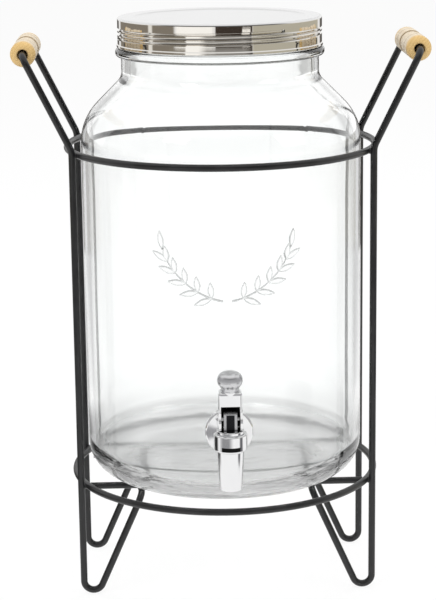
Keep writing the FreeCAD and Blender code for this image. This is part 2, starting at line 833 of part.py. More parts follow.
def tap_lever():
    """Fork, cam feet, closed back, neck and knob in one moulding, measured from its pin."""
    pin = float(size("pin_height"))
    swing = math.radians(float(size("lever_swing")))
    rise_rate = float(size("stem_lift")) / swing
    foot = pin - float(bonnet_top) - float(size("cam_gap"))
    half_width = float(size("fork_width")) / 2
    half_depth = float(size("fork_depth")) / 2
    # The closed back passes over the corners of the stem's head as the lever tips
    head_half = float(size("stem_head_depth")) / 2
    head_bevel = float(size("stem_head_depth")) / 4
    head_top = float(size("stem_head_top")) - pin
    shoulder_reach = math.hypot(head_half, head_top - head_bevel)
    crown_reach = math.hypot(head_half - head_bevel, head_top)
    hood_inside = max(shoulder_reach, crown_reach) + float(size("hood_clearance"))
    hood_back = hood_inside + float(size("hood_wall"))
    neck = float(size("neck_height")) - pin
    # The cam lifts the pin by the same amount for each degree: an involute
    cam = []
    steps = 8
    for step in range(steps + 1):
        turn = swing * step / steps
        reach = foot + rise_rate * turn
        y = -reach * math.sin(turn) - rise_rate * math.cos(turn)
        z = -reach * math.cos(turn) + rise_rate * math.sin(turn)
        cam.append(Vector(-half_width, y, z))
    cam_curve = Part.BSplineCurve()
    cam_curve.interpolate(cam)
    back_foot = Vector(-half_width, hood_back - half_depth * 0.2, -foot)
    back_low = Vector(-half_width, hood_back, -foot + half_depth * 0.4)
    back_top = Vector(-half_width, hood_back, neck)
    front_top = Vector(-half_width, -half_depth, neck)
    front_low = Vector(-half_width, -half_depth, foot)
    toe = Vector(-half_width, cam[-1].y * 0.78, cam[-1].z + foot * 0.62)
    edges = [
        Part.LineSegment(back_foot, cam[0]).toShape(),
        cam_curve.toShape(),
        Part.Arc(cam[-1], toe, front_low).toShape(),
        Part.LineSegment(front_low, front_top).toShape(),
        Part.LineSegment(front_top, back_top).toShape(),
        Part.LineSegment(back_top, back_low).toShape(),
        Part.LineSegment(back_low, back_foot).toShape(),
    ]
    block = Part.Face(Part.Wire(edges)).extrude(Vector(2 * half_width, 0, 0))
    upright = []
    for edge in block.Edges:
        direction = edge.tangentAt(edge.FirstParameter)
        if abs(direction.z) > 0.99 and edge.BoundBox.ZMax > neck - 0.1:
            upright.append(edge)
    block = block.makeFillet(half_depth * 0.5, upright)
    top_edges = [edge for edge in block.Edges if edge.BoundBox.ZMin > neck - 0.01]
    block = block.makeFillet(half_depth * 0.45, top_edges)
    # Neck and knob are turned about the middle of the lever
    neck_radius = float(size("lever_neck_radius"))
    knob = float(size("knob_radius"))
    knob_top = float(size("lever_top")) - pin
    knob_middle = knob_top - knob * 0.75
    swell = Part.BSplineCurve()
    swell.interpolate(
        Points=[Vector(neck_radius, 0, neck), Vector(knob, 0, knob_middle)],
        InitialTangent=Vector(0, 0, 6),
        FinalTangent=Vector(0, 0, 8),
    )
    crown = Part.BSplineCurve()
    crown.interpolate(
        Points=[Vector(knob, 0, knob_middle), Vector(0, 0, knob_top)],
        InitialTangent=Vector(0, 0, knob),
        FinalTangent=Vector(-knob * 1.3, 0, 0),
    )
    base_z = neck - half_depth
    profile = Part.Wire([
        Part.LineSegment(Vector(0, 0, base_z), Vector(neck_radius * 0.8, 0, base_z)).toShape(),
        Part.LineSegment(Vector(neck_radius * 0.8, 0, base_z), Vector(neck_radius, 0, neck)).toShape(),
        swell.toShape(),
        crown.toShape(),
        Part.LineSegment(Vector(0, 0, knob_top), Vector(0, 0, base_z)).toShape(),
    ])
    handle = Part.Face(profile).revolve(Vector(0, 0, 0), Vector(0, 0, 1), 360)
    slot_half = float(size("fork_slot_width")) / 2
    slot_top = float(size("fork_slot_top")) - pin
    slot = Part.makeBox(2 * slot_half, 4 * half_depth + hood_inside, slot_top + 2 * foot,
                        Vector(-slot_half, -4 * half_depth, -2 * foot))
    hole_radius = float(size("pin_diameter")) / 2 + float(size("running_gap"))
    hole = Part.makeCylinder(hole_radius, 4 * half_width, Vector(-2 * half_width, 0, 0), Vector(1, 0, 0))
    shape = block.fuse(handle).cut(slot).cut(hole)
    base = Vector(0, -float(size("tap_reach")), float(size("tap_height")) + pin)
    return solid_feature("tap_lever", shape, Placement(base, Rotation()))


def lever_pin():
    pin = document.addObject("Part::Cylinder", "lever_pin")
    pin.Label = "lever_pin"
    pin.Placement = Placement(Vector(0, 0, 0), Rotation(Vector(0, 1, 0), 90))
    length = size("fork_width") - size("running_gap") * 8
    bind(pin, "Radius", size("pin_diameter") / 2)
    bind(pin, "Height", length)
    place(pin, -length / 2, -size("tap_reach"), size("tap_height") + size("pin_height"))
    return pin


# Seals and nut that clamp the tap through the hole in the glass
def lying_cylinder(label, radius, start, length):
    """A cylinder along Y through the tap hole, from start towards the jar axis."""
    rod = document.addObject("Part::Cylinder", label)
    rod.Placement = Placement(Vector(0, 0, 0), Rotation(Vector(1, 0, 0), -90))
    bind(rod, "Radius", radius)
    bind(rod, "Height", length)
    place(rod, 0, start, size("tap_height"))
    return rod


def jar_wall_form(label, radius):
    form = document.addObject("Part::Cylinder", label)
    bind(form, "Radius", radius)
    bind(form, "Height", size("jar_height"))
    place(form, up=size("jar_seat_height"))
    return form


def boolean(kind, label, base, tool):
    """Cut one shape from another, or keep what both share."""
    feature = document.addObject("Part::" + kind, label)
    feature.Label = label
    feature.Base = base
    feature.Tool = tool
    return feature


hole_radius = size("shank_radius") + size("running_gap")
inner_wall = size("jar_radius") - size("glass_wall")
nut_face = -(inner_wall - size("inner_gasket_thickness"))


def outer_gasket():
    blank = lying_cylinder("outer_gasket_blank", size("gasket_radius"),
                           flange_face - size("tap_reach"), size("gasket_radius"))
    bore = lying_cylinder("outer_gasket_bore", hole_radius,
                          flange_face - size("tap_reach") - 1, size("gasket_radius") + 2)
    ring = boolean("Cut", "outer_gasket_ring", blank, bore)
    return boolean("Cut", "outer_gasket", ring, jar_wall_form("outer_wall_form", size("jar_radius")))


def inner_gasket():
    length = size("inner_gasket_thickness") + size("glass_wall")
    blank = lying_cylinder("inner_gasket_blank", size("gasket_radius"), nut_face - length, length)
    bore = lying_cylinder("inner_gasket_bore", hole_radius, nut_face - length - 1, length + 2)
    ring = boolean("Cut", "inner_gasket_ring", blank, bore)
    return boolean("Common", "inner_gasket", ring, jar_wall_form("inner_wall_form", inner_wall))


def tap_nut():
    blank = document.addObject("Part::Prism", "tap_nut_blank")
    blank.Polygon = 6
    blank.Placement = Placement(Vector(0, 0, 0), Rotation(Vector(1, 0, 0), -90))
    bind(blank, "Circumradius", size("nut_radius"))
    bind(blank, "Height", size("nut_thickness"))
    place(blank, 0, nut_face, size("tap_height"))
    bore = lying_cylinder("tap_nut_bore", hole_radius, nut_face - 1, size("nut_thickness") + 2)
    return boolean("Cut", "tap_nut", blank, bore)


pieces = [
    upper_ring, lower_ring, left_side_frame, right_side_frame, front_cross_bar, rear_cross_bar,
    left_grip, right_grip, jar, cap, liner,
    tap_body(), tap_bonnet(), stem_o_ring(), tap_stem(), stem_seat(), stem_spring(),
    tap_lever(), lever_pin(), outer_gasket(), inner_gasket(), tap_nut(),
]

# Nothing is written unless every object and every piece came out sound
document.recompute()
for thing in document.Objects:
    if "Invalid" in thing.State or "Error" in thing.State:
        raise RuntimeError("%s failed: %s" % (thing.Name, thing.State))
for piece in pieces:
    if piece.Shape.isNull() or not piece.Shape.isValid() or piece.Shape.Volume <= 0:
        raise RuntimeError("%s has no sound shape" % piece.Label)

os.makedirs("parts", exist_ok=True)
for piece in pieces:
    piece.Shape.exportStep("parts/%s.step" % piece.Label)
    box = piece.Shape.BoundBox
    print("%-18s %2d solid, %10.1f mm3, z %7.2f to %7.2f" % (
        piece.Label, len(piece.Shape.Solids), piece.Shape.Volume, box.ZMin, box.ZMax))
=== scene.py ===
# %% [markdown]
# Glass drink dispenser in a wire stand
#
# The real object is a pressed glass jar with a screw lid and a chrome lever tap, held in a stand of
# black coated wire with two turned wooden grips. The wire, lid, tap and grips come from the packed
# model and only need their finishes. The jar is made here again, because clear glass shows every
# facet: it needs an even surface, and the wreath that is pressed into its front.

# %% Load the fixed frame
import math

import bpy
from mathutils import Matrix, Vector


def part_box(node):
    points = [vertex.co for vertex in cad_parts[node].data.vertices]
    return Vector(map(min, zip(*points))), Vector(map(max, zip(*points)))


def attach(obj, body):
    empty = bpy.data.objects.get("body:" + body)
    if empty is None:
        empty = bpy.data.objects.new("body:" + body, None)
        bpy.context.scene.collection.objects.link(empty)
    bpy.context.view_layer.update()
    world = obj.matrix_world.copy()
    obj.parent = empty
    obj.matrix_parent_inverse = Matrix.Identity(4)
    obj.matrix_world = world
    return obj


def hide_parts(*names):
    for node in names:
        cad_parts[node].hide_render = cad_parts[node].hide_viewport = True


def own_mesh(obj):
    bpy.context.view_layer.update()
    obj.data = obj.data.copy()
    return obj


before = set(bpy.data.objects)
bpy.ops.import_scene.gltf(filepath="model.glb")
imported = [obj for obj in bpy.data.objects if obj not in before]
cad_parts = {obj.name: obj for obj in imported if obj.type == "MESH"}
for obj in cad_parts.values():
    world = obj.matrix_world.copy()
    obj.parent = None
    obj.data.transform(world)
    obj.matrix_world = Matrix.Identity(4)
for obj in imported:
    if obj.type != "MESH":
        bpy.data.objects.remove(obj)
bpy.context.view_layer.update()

MM = 0.001

# %% [markdown]
# The camera
#
# The photograph looks down on the jar a little, from slightly to its left, through a long lens.
# The place, the tilt and the lens came from lining up the rings, the legs and the lid. A camera's
# matrix has its right, up and backward directions as columns, so those are worked out first.

# %% Camera
PHOTO_HEIGHT_PX = 600
FOCAL_PX = 1969.4
CAMERA_PLACE = Vector((-45.9, -1425.4, 543.0)) * MM
CAMERA_TURN = math.radians(1.70)
CAMERA_DOWN = math.radians(13.14)
CAMERA_ROLL = math.radians(-0.72)

forward = Vector((
    math.sin(CAMERA_TURN) * math.cos(CAMERA_DOWN),
    math.cos(CAMERA_TURN) * math.cos(CAMERA_DOWN),
    -math.sin(CAMERA_DOWN),
))
level_right = Vector((math.cos(CAMERA_TURN), -math.sin(CAMERA_TURN), 0))
level_up = level_right.cross(forward)
right = level_right * math.cos(CAMERA_ROLL) + level_up * math.sin(CAMERA_ROLL)
up = level_up * math.cos(CAMERA_ROLL) - level_right * math.sin(CAMERA_ROLL)

camera_data = bpy.data.cameras.new("camera")
camera_data.sensor_width = 36
camera_data.lens = FOCAL_PX / PHOTO_HEIGHT_PX * camera_data.sensor_width
camera = bpy.data.objects.new("camera", camera_data)
camera.matrix_world = Matrix((
    (right.x, up.x, -forward.x, CAMERA_PLACE.x),
    (right.y, up.y, -forward.y, CAMERA_PLACE.y),
    (right.z, up.z, -forward.z, CAMERA_PLACE.z),
    (0, 0, 0, 1),
))
scene = bpy.context.scene
scene.collection.objects.link(camera)
scene.camera = camera
print("lens in mm: %.1f" % camera_data.lens)

# %% [markdown]
# Node trees as plain sentences
#
# Materials and Geometry Nodes are both trees of nodes. Wiring them by hand hides what they compute,
# so two small classes make them read like formulas. A `Board` is a tree, and places nodes on it. A
# `Flow` is one output of a node: adding or multiplying it adds a Math node.

# %% Board and Flow
class Flow:
    """One output of a node, which can be used in a sum like a number."""

    def __init__(self, board, socket):
        self.board = board
        self.socket = socket

    def math(self, operation, *others):
        return self.board.math(operation, self, *others)

    def __add__(self, other):
        return self.math("ADD", other)

    __radd__ = __add__

    def __sub__(self, other):
        return self.math("SUBTRACT", other)

    def __rsub__(self, other):
        return self.board.math("SUBTRACT", other, self)

    def __mul__(self, other):
        return self.math("MULTIPLY", other)

    def __truediv__(self, other):
        return self.math("DIVIDE", other)

    def __gt__(self, other):
        return self.math("GREATER_THAN", other)

    def __lt__(self, other):
        return self.math("LESS_THAN", other)

    def sine(self):
        return self.math("SINE")

    def cosine(self):
        return self.math("COSINE")

    def size(self):
        return self.math("ABSOLUTE")

    def power(self, other):
        return self.math("POWER", other)

    def least(self, other):
        return self.math("MINIMUM", other)

    def most(self, other):
        return self.math("MAXIMUM", other)

    def remainder(self, other):
        return self.math("FLOORED_MODULO", other)

    def whole(self):
        return self.math("FLOOR")

    def within(self, low, high):
        return self.most(low).least(high)

    def ramp(self, low, high):
        """0 below low, 1 above high and smooth between them."""
        settings = {"interpolation_type": "SMOOTHSTEP"}
        inputs = {"Value": self, "From Min": low, "From Max": high}
        return self.board.node("ShaderNodeMapRange", settings, inputs)[0]


class Placed:
    """A node on a board. Its outputs are read by name or by number."""

    def __init__(self, board, node):
        self.board = board
        self.node = node

    def __getitem__(self, name):
        return Flow(self.board, self.node.outputs[name])


class Board:
    """A node tree that is written as Python."""

    def __init__(self, tree):
        self.tree = tree

    def node(self, kind, settings=None, inputs=None):
        made = self.tree.nodes.new(kind)
        for name, value in (settings or {}).items():
            setattr(made, name, value)
        for name, value in (inputs or {}).items():
            self.plug(made.inputs[name], value)
        return Placed(self, made)

    def plug(self, socket, value):
        """Link a Flow or a list of them, or write a plain value."""
        if isinstance(value, Flow):
            self.tree.links.new(value.socket, socket)
        elif isinstance(value, list):
            for one in value:
                self.tree.links.new(one.socket, socket)
        else:
            socket.default_value = value

    def math(self, operation, *values):
        return self.node("ShaderNodeMath", {"operation": operation}, dict(enumerate(values)))[0]

    def mix_colour(self, factor, first, second):
        inputs = {0: factor, 6: first, 7: second}
        return self.node("ShaderNodeMix", {"data_type": "RGBA"}, inputs)[2]

    def vector(self, x=0.0, y=0.0, z=0.0):
        return self.node("ShaderNodeCombineXYZ", {}, {0: x, 1: y, 2: z})[0]

    def split(self, vector):
        parts = self.node("ShaderNodeSeparateXYZ", {}, {0: vector})
        return parts[0], parts[1], parts[2]

    def length(self, x=0.0, y=0.0, z=0.0):
        inputs = {0: self.vector(x, y, z)}
        return self.node("ShaderNodeVectorMath", {"operation": "LENGTH"}, inputs)["Value"]


print("helpers ready: Flow, Placed, Board")

# %% [markdown]
# The studio
#
# A pale floor runs far back, so that no horizon shows, and an even sky lights the object softly.
# What polished metal and clear glass show is the room, so the room is drawn for them: white behind
# and overhead, dark behind the camera. Light Path tells the sky and the floor which kind of ray has
# come. The camera meets pure white, and light that falls on matt things meets an even grey. The
# floor stays a lit surface in part, so it keeps the shadow of the object.
#
# Rays through the glass meet a white field straight behind the object and grey all round it, which
# is how glassware is photographed: plain glass looks clean, and whatever bends the light, such as
# an edge or a pressed leaf, looks past the white field and draws itself as a dark line.

# %% Floor and sky
WHITE = (1.0, 1.0, 1.0, 1)
FLOOR_HALF_SIZE = 14.0
FLOOR_PAINT = (0.9, 0.9, 0.9, 1)
FLOOR_GLOW = 1.04
FLOOR_GLOW_SHARE = 0.84
# The field that rays through the glass meet on the floor. It starts behind the object, and its
# half width grows with the distance. Pairs are where a change starts and where it is complete.
FIELD_WHITE = 1.24
FIELD_GREY = 0.62
FIELD_START = (0.20, 0.62)
FIELD_SIDE = (0.16, 0.42)
FIELD_SPREAD = 0.16
# The sky, by the direction of a ray: -1 is the front and the ground, 1 the back and straight up
EVEN_SKY = 0.62
FRONT_ENDS = (-0.5, 0.05)
OVERHEAD = (0.5, 0.85)
MIRRORED_FRONT_LOSS = 0.86
HORIZON_ENDS = (-0.04, 0.25)
SKY_IN_GLASS_LOSS = 0.62
FRONT_IN_GLASS_LOSS = 0.45


def new_material(name):
    material = bpy.data.materials.new(name)
    material.use_nodes = True
    material.node_tree.nodes.clear()
    return material, Board(material.node_tree)


floor_material, board = new_material("studio_floor")
path = board.node("ShaderNodeLightPath")
through_glass = path["Is Transmission Ray"]
seen = path["Is Camera Ray"].most(path["Is Glossy Ray"]).most(through_glass)
x, y, _ = board.split(board.node("ShaderNodeTexCoord")["Object"])
beside = (x.size() - y * FIELD_SPREAD).ramp(*FIELD_SIDE)
near = 1 - y.ramp(*FIELD_START)
field = FIELD_WHITE - near.most(beside) * (FIELD_WHITE - FIELD_GREY)
brightness = FLOOR_GLOW + through_glass * (field - FLOOR_GLOW)
lit = board.node("ShaderNodeBsdfDiffuse", {}, {"Color": FLOOR_PAINT})
glow = board.node("ShaderNodeEmission", {}, {"Color": WHITE, "Strength": brightness})
share = seen * FLOOR_GLOW_SHARE
floor_mix = board.node("ShaderNodeMixShader", {}, {0: share, 1: lit[0], 2: glow[0]})
board.node("ShaderNodeOutputMaterial", {}, {"Surface": floor_mix[0]})

floor_mesh = bpy.data.meshes.new("studio_floor")
edge = FLOOR_HALF_SIZE
floor_corners = [(-edge, -edge, 0), (edge, -edge, 0), (edge, edge, 0), (-edge, edge, 0)]
floor_mesh.from_pydata(floor_corners, [], [(0, 1, 2, 3)])
floor_mesh.materials.append(floor_material)
floor = bpy.data.objects.new("studio_floor", floor_mesh)
scene.collection.objects.link(floor)

world = bpy.data.worlds.new("studio_sky")
scene.world = world
world.use_nodes = True
world.node_tree.nodes.clear()
board = Board(world.node_tree)
path = board.node("ShaderNodeLightPath")
_, back, height = board.split(board.node("ShaderNodeTexCoord")["Generated"])
front = 1 - back.ramp(*FRONT_ENDS)
mirrored = 1 - front * (1 - height.ramp(*OVERHEAD)) * MIRRORED_FRONT_LOSS
in_glass = 1 - height.ramp(*HORIZON_ENDS) * SKY_IN_GLASS_LOSS
in_glass = in_glass * (1 - front * FRONT_IN_GLASS_LOSS)
strength = (EVEN_SKY + path["Is Camera Ray"] * (1 - EVEN_SKY)
            + path["Is Glossy Ray"] * (mirrored - EVEN_SKY)
            + path["Is Transmission Ray"] * (in_glass - EVEN_SKY))
sky = board.node("ShaderNodeBackground", {}, {"Color": WHITE, "Strength": strength})
board.node("ShaderNodeOutputWorld", {}, {"Surface": sky[0]})
print("floor: %g m across, sky: %s" % (2 * FLOOR_HALF_SIZE, world.name))


# %% Lamps
LAMP_AIM = Vector((0.0, 0.0, 0.2))
# Each row: name, place, size in metres, power in watts
LAMPS = (
    ("key_lamp", (-1.5, -1.6, 1.9), 0.9, 24),
    ("fill_lamp", (1.9, -1.0, 1.3), 1.0, 11),
    ("top_lamp", (0.3, 0.9, 2.2), 1.2, 14),
)
for name, place, size, power in LAMPS:
    lamp_data = bpy.data.lights.new(name, "AREA")
    lamp_data.shape = "SQUARE"
    lamp_data.size = size
    lamp_data.energy = power
    lamp = bpy.data.objects.new(name, lamp_data)
    lamp.location = place
    lamp.rotation_euler = (LAMP_AIM - Vector(place)).to_track_quat("-Z", "Y").to_euler()
    lamp.visible_camera = False
    lamp.visible_glossy = False
    scene.collection.objects.link(lamp)
print("lamps:", ", ".join(row[0] for row in LAMPS))

# %% [markdown]
# Cards
#
# Photographers stand white and dark cards round polished things, because their reflections are what
# gives metal its look. These cards are bent round the object, with soft edges. The lid's cards are
# far out, and the tap's close by, because the tap is low and mirrors what is near it. They are seen
# only in reflections. Two flags are seen only through the glass, and darken its sides. The camera
# never sees a card, and no card lights the object or throws a shadow.

# %% Cards round the object
JAR_AXIS = (0.0, 0.0)
TAP_AXIS = (0.0, -0.130)
CARD_STEPS = 12
# Heights of the lower and upper edges, in metres
LID_ROW = (0.0, 0.36)
SKIRT_ROW = (0.0, 0.2985)
WINDOW_ROW = (0.3025, 0.3160)
FLOOR_ROW = (0.0, 0.075)
SPOUT_ROW = (0.0, 0.10)
KNOB_ROW = (0.140, 0.262)
FLAG_ROW = (0.0, 1.1)
# Each row: name, turns in degrees from the front, distance, heights, colour, and the shares of
# the width and the height that fade at each edge
LID_CARDS = (
    ("card_dark_front", (-7, 34), 1.20, LID_ROW, (0.055, 0.042, 0.034), 0.03, 0.04),
    ("card_window", (22, 31.5), 1.18, WINDOW_ROW, (1.30, 1.27, 1.20), 0.05, 0.05),
    ("card_white_block", (-52, -7), 1.20, LID_ROW, (1.24, 1.23, 1.20), 0.10, 0.04),
    ("card_skirt_middle", (-26, 36), 1.15, SKIRT_ROW, (0.36, 0.35, 0.33), 0.20, 0.03),
    ("card_skirt_left", (-60, -38), 1.15, SKIRT_ROW, (0.29, 0.265, 0.22), 0.10, 0.03),
    ("card_brown_left", (-148, -50), 1.22, LID_ROW, (0.27, 0.24, 0.20), 0.04, 0.04),
    ("card_streak", (-87, -79), 1.18, LID_ROW, (0.95, 0.93, 0.88), 0.30, 0.04),
    ("card_beige_right", (32, 140), 1.22, LID_ROW, (0.56, 0.53, 0.44), 0.03, 0.04),
    ("card_edge_left", (-176, -152), 1.20, LID_ROW, (0.12, 0.11, 0.10), 0.20, 0.04),
    ("card_edge_right", (145, 172), 1.20, LID_ROW, (0.12, 0.11, 0.10), 0.20, 0.04),
)
TAP_CARDS = (
    ("card_tap_grey", (-92, 22), 0.32, FLOOR_ROW, (0.30, 0.30, 0.31), 0.35, 0.30),
    ("card_knob_grey", (-150, 150), 0.16, KNOB_ROW, (0.46, 0.46, 0.47), 0.10, 0.12),
    ("card_tap_dark", (-160, -86), 0.30, SPOUT_ROW, (0.03, 0.03, 0.03), 0.30, 0.20),
    ("card_tap_streak", (58, 92), 0.30, SPOUT_ROW, (0.16, 0.16, 0.17), 0.30, 0.02),
)
GLASS_FLAGS = (
    ("flag_left", (-112, -72), 1.60, FLAG_ROW, (0.36, 0.36, 0.36), 0.20, 0.04),
    ("flag_right", (66, 118), 1.60, FLAG_ROW, (0.24, 0.24, 0.24), 0.20, 0.04),
)


def card(name, turns, distance, heights, colour, soft, fade, centre=JAR_AXIS, in_glass=False):
    """An upright card bent round a centre."""
    material, board = new_material(name)
    u, v, _ = board.split(board.node("ShaderNodeTexCoord")["UV"])
    cover = u.ramp(0.0, soft) * (1 - u.ramp(1 - soft, 1.0))
    cover = cover * v.ramp(0.0, fade) * (1 - v.ramp(1 - fade, 1.0))
    glow = board.node("ShaderNodeEmission", {}, {"Color": (*colour, 1), "Strength": 1.0})
    clear = board.node("ShaderNodeBsdfTransparent")
    mixed = board.node("ShaderNodeMixShader", {}, {0: cover, 1: clear[0], 2: glow[0]})
    board.node("ShaderNodeOutputMaterial", {}, {"Surface": mixed[0]})
    corners = []
    for step in range(CARD_STEPS + 1):
        angle = math.radians(turns[0] + (turns[1] - turns[0]) * step / CARD_STEPS)
        x = centre[0] + distance * math.sin(angle)
        y = centre[1] - distance * math.cos(angle)
        corners += [(x, y, heights[0]), (x, y, heights[1])]
    faces = [(2 * i, 2 * i + 2, 2 * i + 3, 2 * i + 1) for i in range(CARD_STEPS)]
    mesh = bpy.data.meshes.new(name)
    mesh.from_pydata(corners, [], faces)
    layer = mesh.uv_layers.new(name="spread")
    for loop in mesh.loops:
        layer.data[loop.index].uv = (loop.vertex_index // 2 / CARD_STEPS, loop.vertex_index % 2)
    mesh.materials.append(material)
    made = bpy.data.objects.new(name, mesh)
    made.visible_camera = False
    made.visible_diffuse = False
    made.visible_shadow = False
    made.visible_glossy = not in_glass
    made.visible_transmission = in_glass
    scene.collection.objects.link(made)


for row in LID_CARDS:
    card(*row)
for row in TAP_CARDS:
    card(*row, centre=TAP_AXIS)
for row in GLASS_FLAGS:
    card(*row, in_glass=True)
print("cards:", len(LID_CARDS) + len(TAP_CARDS) + len(GLASS_FLAGS))

# %% [markdown]
# Black coated wire
#
# The stand is steel wire with a baked powder coat. The coat is a near black that is not quite even,
# half glossy, and has the fine orange-peel texture of powder that flowed as it melted. Noise drives
# the tone, the gloss and a small bump, all at the scale of a millimetre or two.

# %% Wire coat
COAT = ((0.008, 0.008, 0.0085, 1), (0.016, 0.016, 0.017, 1))
COAT_IOR = 1.5
PEEL_DEPTH = 0.06 * MM


def object_place(board):
    return board.node("ShaderNodeTexCoord")["Object"]


def noise(board, place, scale, detail=2.0, roughness=0.5):
    """Soft noise. Scale is the number of its waves in a metre."""
    inputs = {"Vector": place, "Scale": scale, "Detail": detail, "Roughness": roughness}
    return board.node("ShaderNodeTexNoise", {}, inputs)[0]


def bump(board, height, depth, strength=1.0):
    inputs = {"Height": height, "Distance": depth, "Strength": strength}
    return board.node("ShaderNodeBump", {}, inputs)[0]


def finish_material(board, values):
    shader = board.node("ShaderNodeBsdfPrincipled", {}, values)
    board.node("ShaderNodeOutputMaterial", {}, {"Surface": shader[0]})


coat, board = new_material("black_coat")
place = object_place(board)
patches = noise(board, place, 90.0, 3.0)
peel = noise(board, place, 900.0, 2.0)
finish_material(board, {
    "Base Color": board.mix_colour(patches.ramp(0.3, 0.7), *COAT),
    "Roughness": 0.24 + patches * 0.14,
    "IOR": COAT_IOR,
    "Normal": bump(board, peel, PEEL_DEPTH, 0.4),
})
print("finish:", coat.name)

# %% [markdown]
# Turned wood
#
# The grips are pale beech or birch, turned on a lathe and lacquered. The fibres run along the grip,
# which is the Y direction, so the noise is squeezed hard along Y. The yearly rings are thin shells
# round an axis that passes beside the grip, which draws long flame lines on the sides and arcs on
# the ends. The grooves and a scribed line towards each end are a little darker, as the lathe burns
# them, and the domed ends are a darker ochre. Round the wire's hole in each end the wood is painted
# near black: painted shade.

# %% Grip wood
WOOD = ((0.80, 0.69, 0.52, 1), (0.71, 0.57, 0.38, 1))
WOOD_END = ((0.78, 0.53, 0.20, 1), (0.66, 0.41, 0.13, 1))
WOOD_FLECK = (0.42, 0.26, 0.13, 1)
WOOD_BURNT = (0.26, 0.175, 0.09, 1)
# Painted shade in the mouth of the wire's hole at each end
WOOD_HOLE_SHADE = (0.14, 0.08, 0.03, 1)
RING_SPACING = 2.1 * MM
RING_WANDER = 4.0 * MM
# The heart of the tree, beside and below the axis of the grip
HEART = (13.0 * MM, -8.0 * MM)
# Places along the grip, from its middle. Pairs are where a change starts and where it is complete.
GROOVE_IN = (5.2 * MM, 5.8 * MM)
GROOVE_OUT = (6.8 * MM, 7.6 * MM)
SCRIBED_PLACE = 20.0 * MM
SCRIBED_EDGE = (0.5 * MM, 1.3 * MM)
DOMED_END = (28.5 * MM, 32.5 * MM)
# Where the painted shade at the hole's mouth sits: along the grip, and its radius round the axis
MOUTH_PLACE = (36.5 * MM, 37.8 * MM)
MOUTH_EDGE = (3.6 * MM, 4.6 * MM)
GRAIN_DEPTH = 0.08 * MM


def grip_wood(side):
    low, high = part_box(side + "_grip")
    centre = (low + high) / 2
    material, board = new_material("turned_wood_" + side)
    x, y, z = board.split(object_place(board))
    distance = board.length(x - centre.x, 0.0, z - centre.z)
    wander = noise(board, board.vector(x * 40.0, y * 9.0, z * 40.0), 1.0, 2.0)
    from_heart = board.length(x - (centre.x + HEART[0]), 0.0, z - (centre.z + HEART[1]))
    shells = (from_heart + wander * RING_WANDER) * (2 * math.pi / RING_SPACING)
    rings = shells.sine() * 0.5 + 0.5
    fibres = noise(board, board.vector(x * 900.0, y * 40.0, z * 900.0), 1.0, 3.0, 0.6)
    flecks = noise(board, board.vector(x * 1700.0, y * 150.0, z * 1700.0), 1.0, 1.0)
    grain = rings.power(3.0) * 0.45 + fibres * 0.55
    from_middle = y.size()
    groove = from_middle.ramp(*GROOVE_IN) * (1 - from_middle.ramp(*GROOVE_OUT))
    scribed = 1 - (from_middle - SCRIBED_PLACE).size().ramp(*SCRIBED_EDGE)
    end = from_middle.ramp(*DOMED_END)
    # Painted shade: round the wire's hole in each end face the wood is painted near black
    mouth_shade = from_middle.ramp(*MOUTH_PLACE) * (1 - distance.ramp(*MOUTH_EDGE))
    colour = board.mix_colour(grain, *WOOD)
    colour = board.mix_colour(flecks.ramp(0.62, 0.72) * 0.35, colour, WOOD_FLECK)
    colour = board.mix_colour(end * 0.9, colour, board.mix_colour(grain, *WOOD_END))
    colour = board.mix_colour((groove * 0.85).most(scribed * 0.6), colour, WOOD_BURNT)
    colour = board.mix_colour(mouth_shade * 0.8, colour, WOOD_HOLE_SHADE)
    finish_material(board, {
        "Base Color": colour,
        "Roughness": 0.42 + fibres * 0.18,
        "Normal": bump(board, fibres + rings * 0.4 - scribed * 2, GRAIN_DEPTH, 0.6),
        "Coat Weight": 0.15,
        "Coat Roughness": 0.3,
    })
    return material


left_wood = grip_wood("left")
right_wood = grip_wood("right")
print("finishes:", left_wood.name, right_wood.name)

# %% [markdown]
# Metals
#
# The lid is drawn from tinned sheet and polished, so it is bright, slightly warm and a little
# softer than a mirror, with faint scratches from the polishing wheel. The tap is chrome plated: a
# true mirror, with nothing but faint wipe marks. The pin, the stem and the spring are plain bright
# steel, which is duller.

# %% Polished, plated and drawn metal
LID_STEEL = ((0.70, 0.675, 0.635, 1), (0.78, 0.76, 0.73, 1))
LID_TOP_STEEL = (0.77, 0.77, 0.77, 1)
# The rolled thread of the lid: where its rows start and end above the hem, and their pitch
LID_ROWS = (5.6 * MM, 14.2 * MM)
LID_ROWS_FADE = 1.5 * MM
LID_ROW_PITCH = 3.1 * MM
LID_TOP_EDGE = (1.4 * MM, 0.9 * MM)
WAVE_DEPTH = 0.05 * MM
LATHE_DEPTH = 0.002 * MM
CHROME = ((0.80, 0.80, 0.81, 1), (0.88, 0.88, 0.88, 1))
SATIN_CHROME = (0.66, 0.66, 0.67, 1)
SATIN_EDGE = 0.8 * MM
# Black for the painted shade inside the lever's hood and the painted shadow under the collar
PAINTED_SHADE_BLACK = (0.012, 0.012, 0.012, 1)
STEM_STEEL = (0.55, 0.55, 0.56, 1)
# The painted shade on the stem in the hood: its black, the half width of its strip and that strip's
# edge
STEM_PAINTED_SHADE = (0.02, 0.02, 0.022, 1)
STEM_SHADE_HALF = 2.6 * MM
STEM_SHADE_EDGE = 0.5 * MM
STEM_TIP = (2.2 * MM, 1.6 * MM)
BRIGHT_STEEL = ((0.50, 0.50, 0.50, 1), (0.64, 0.64, 0.63, 1))


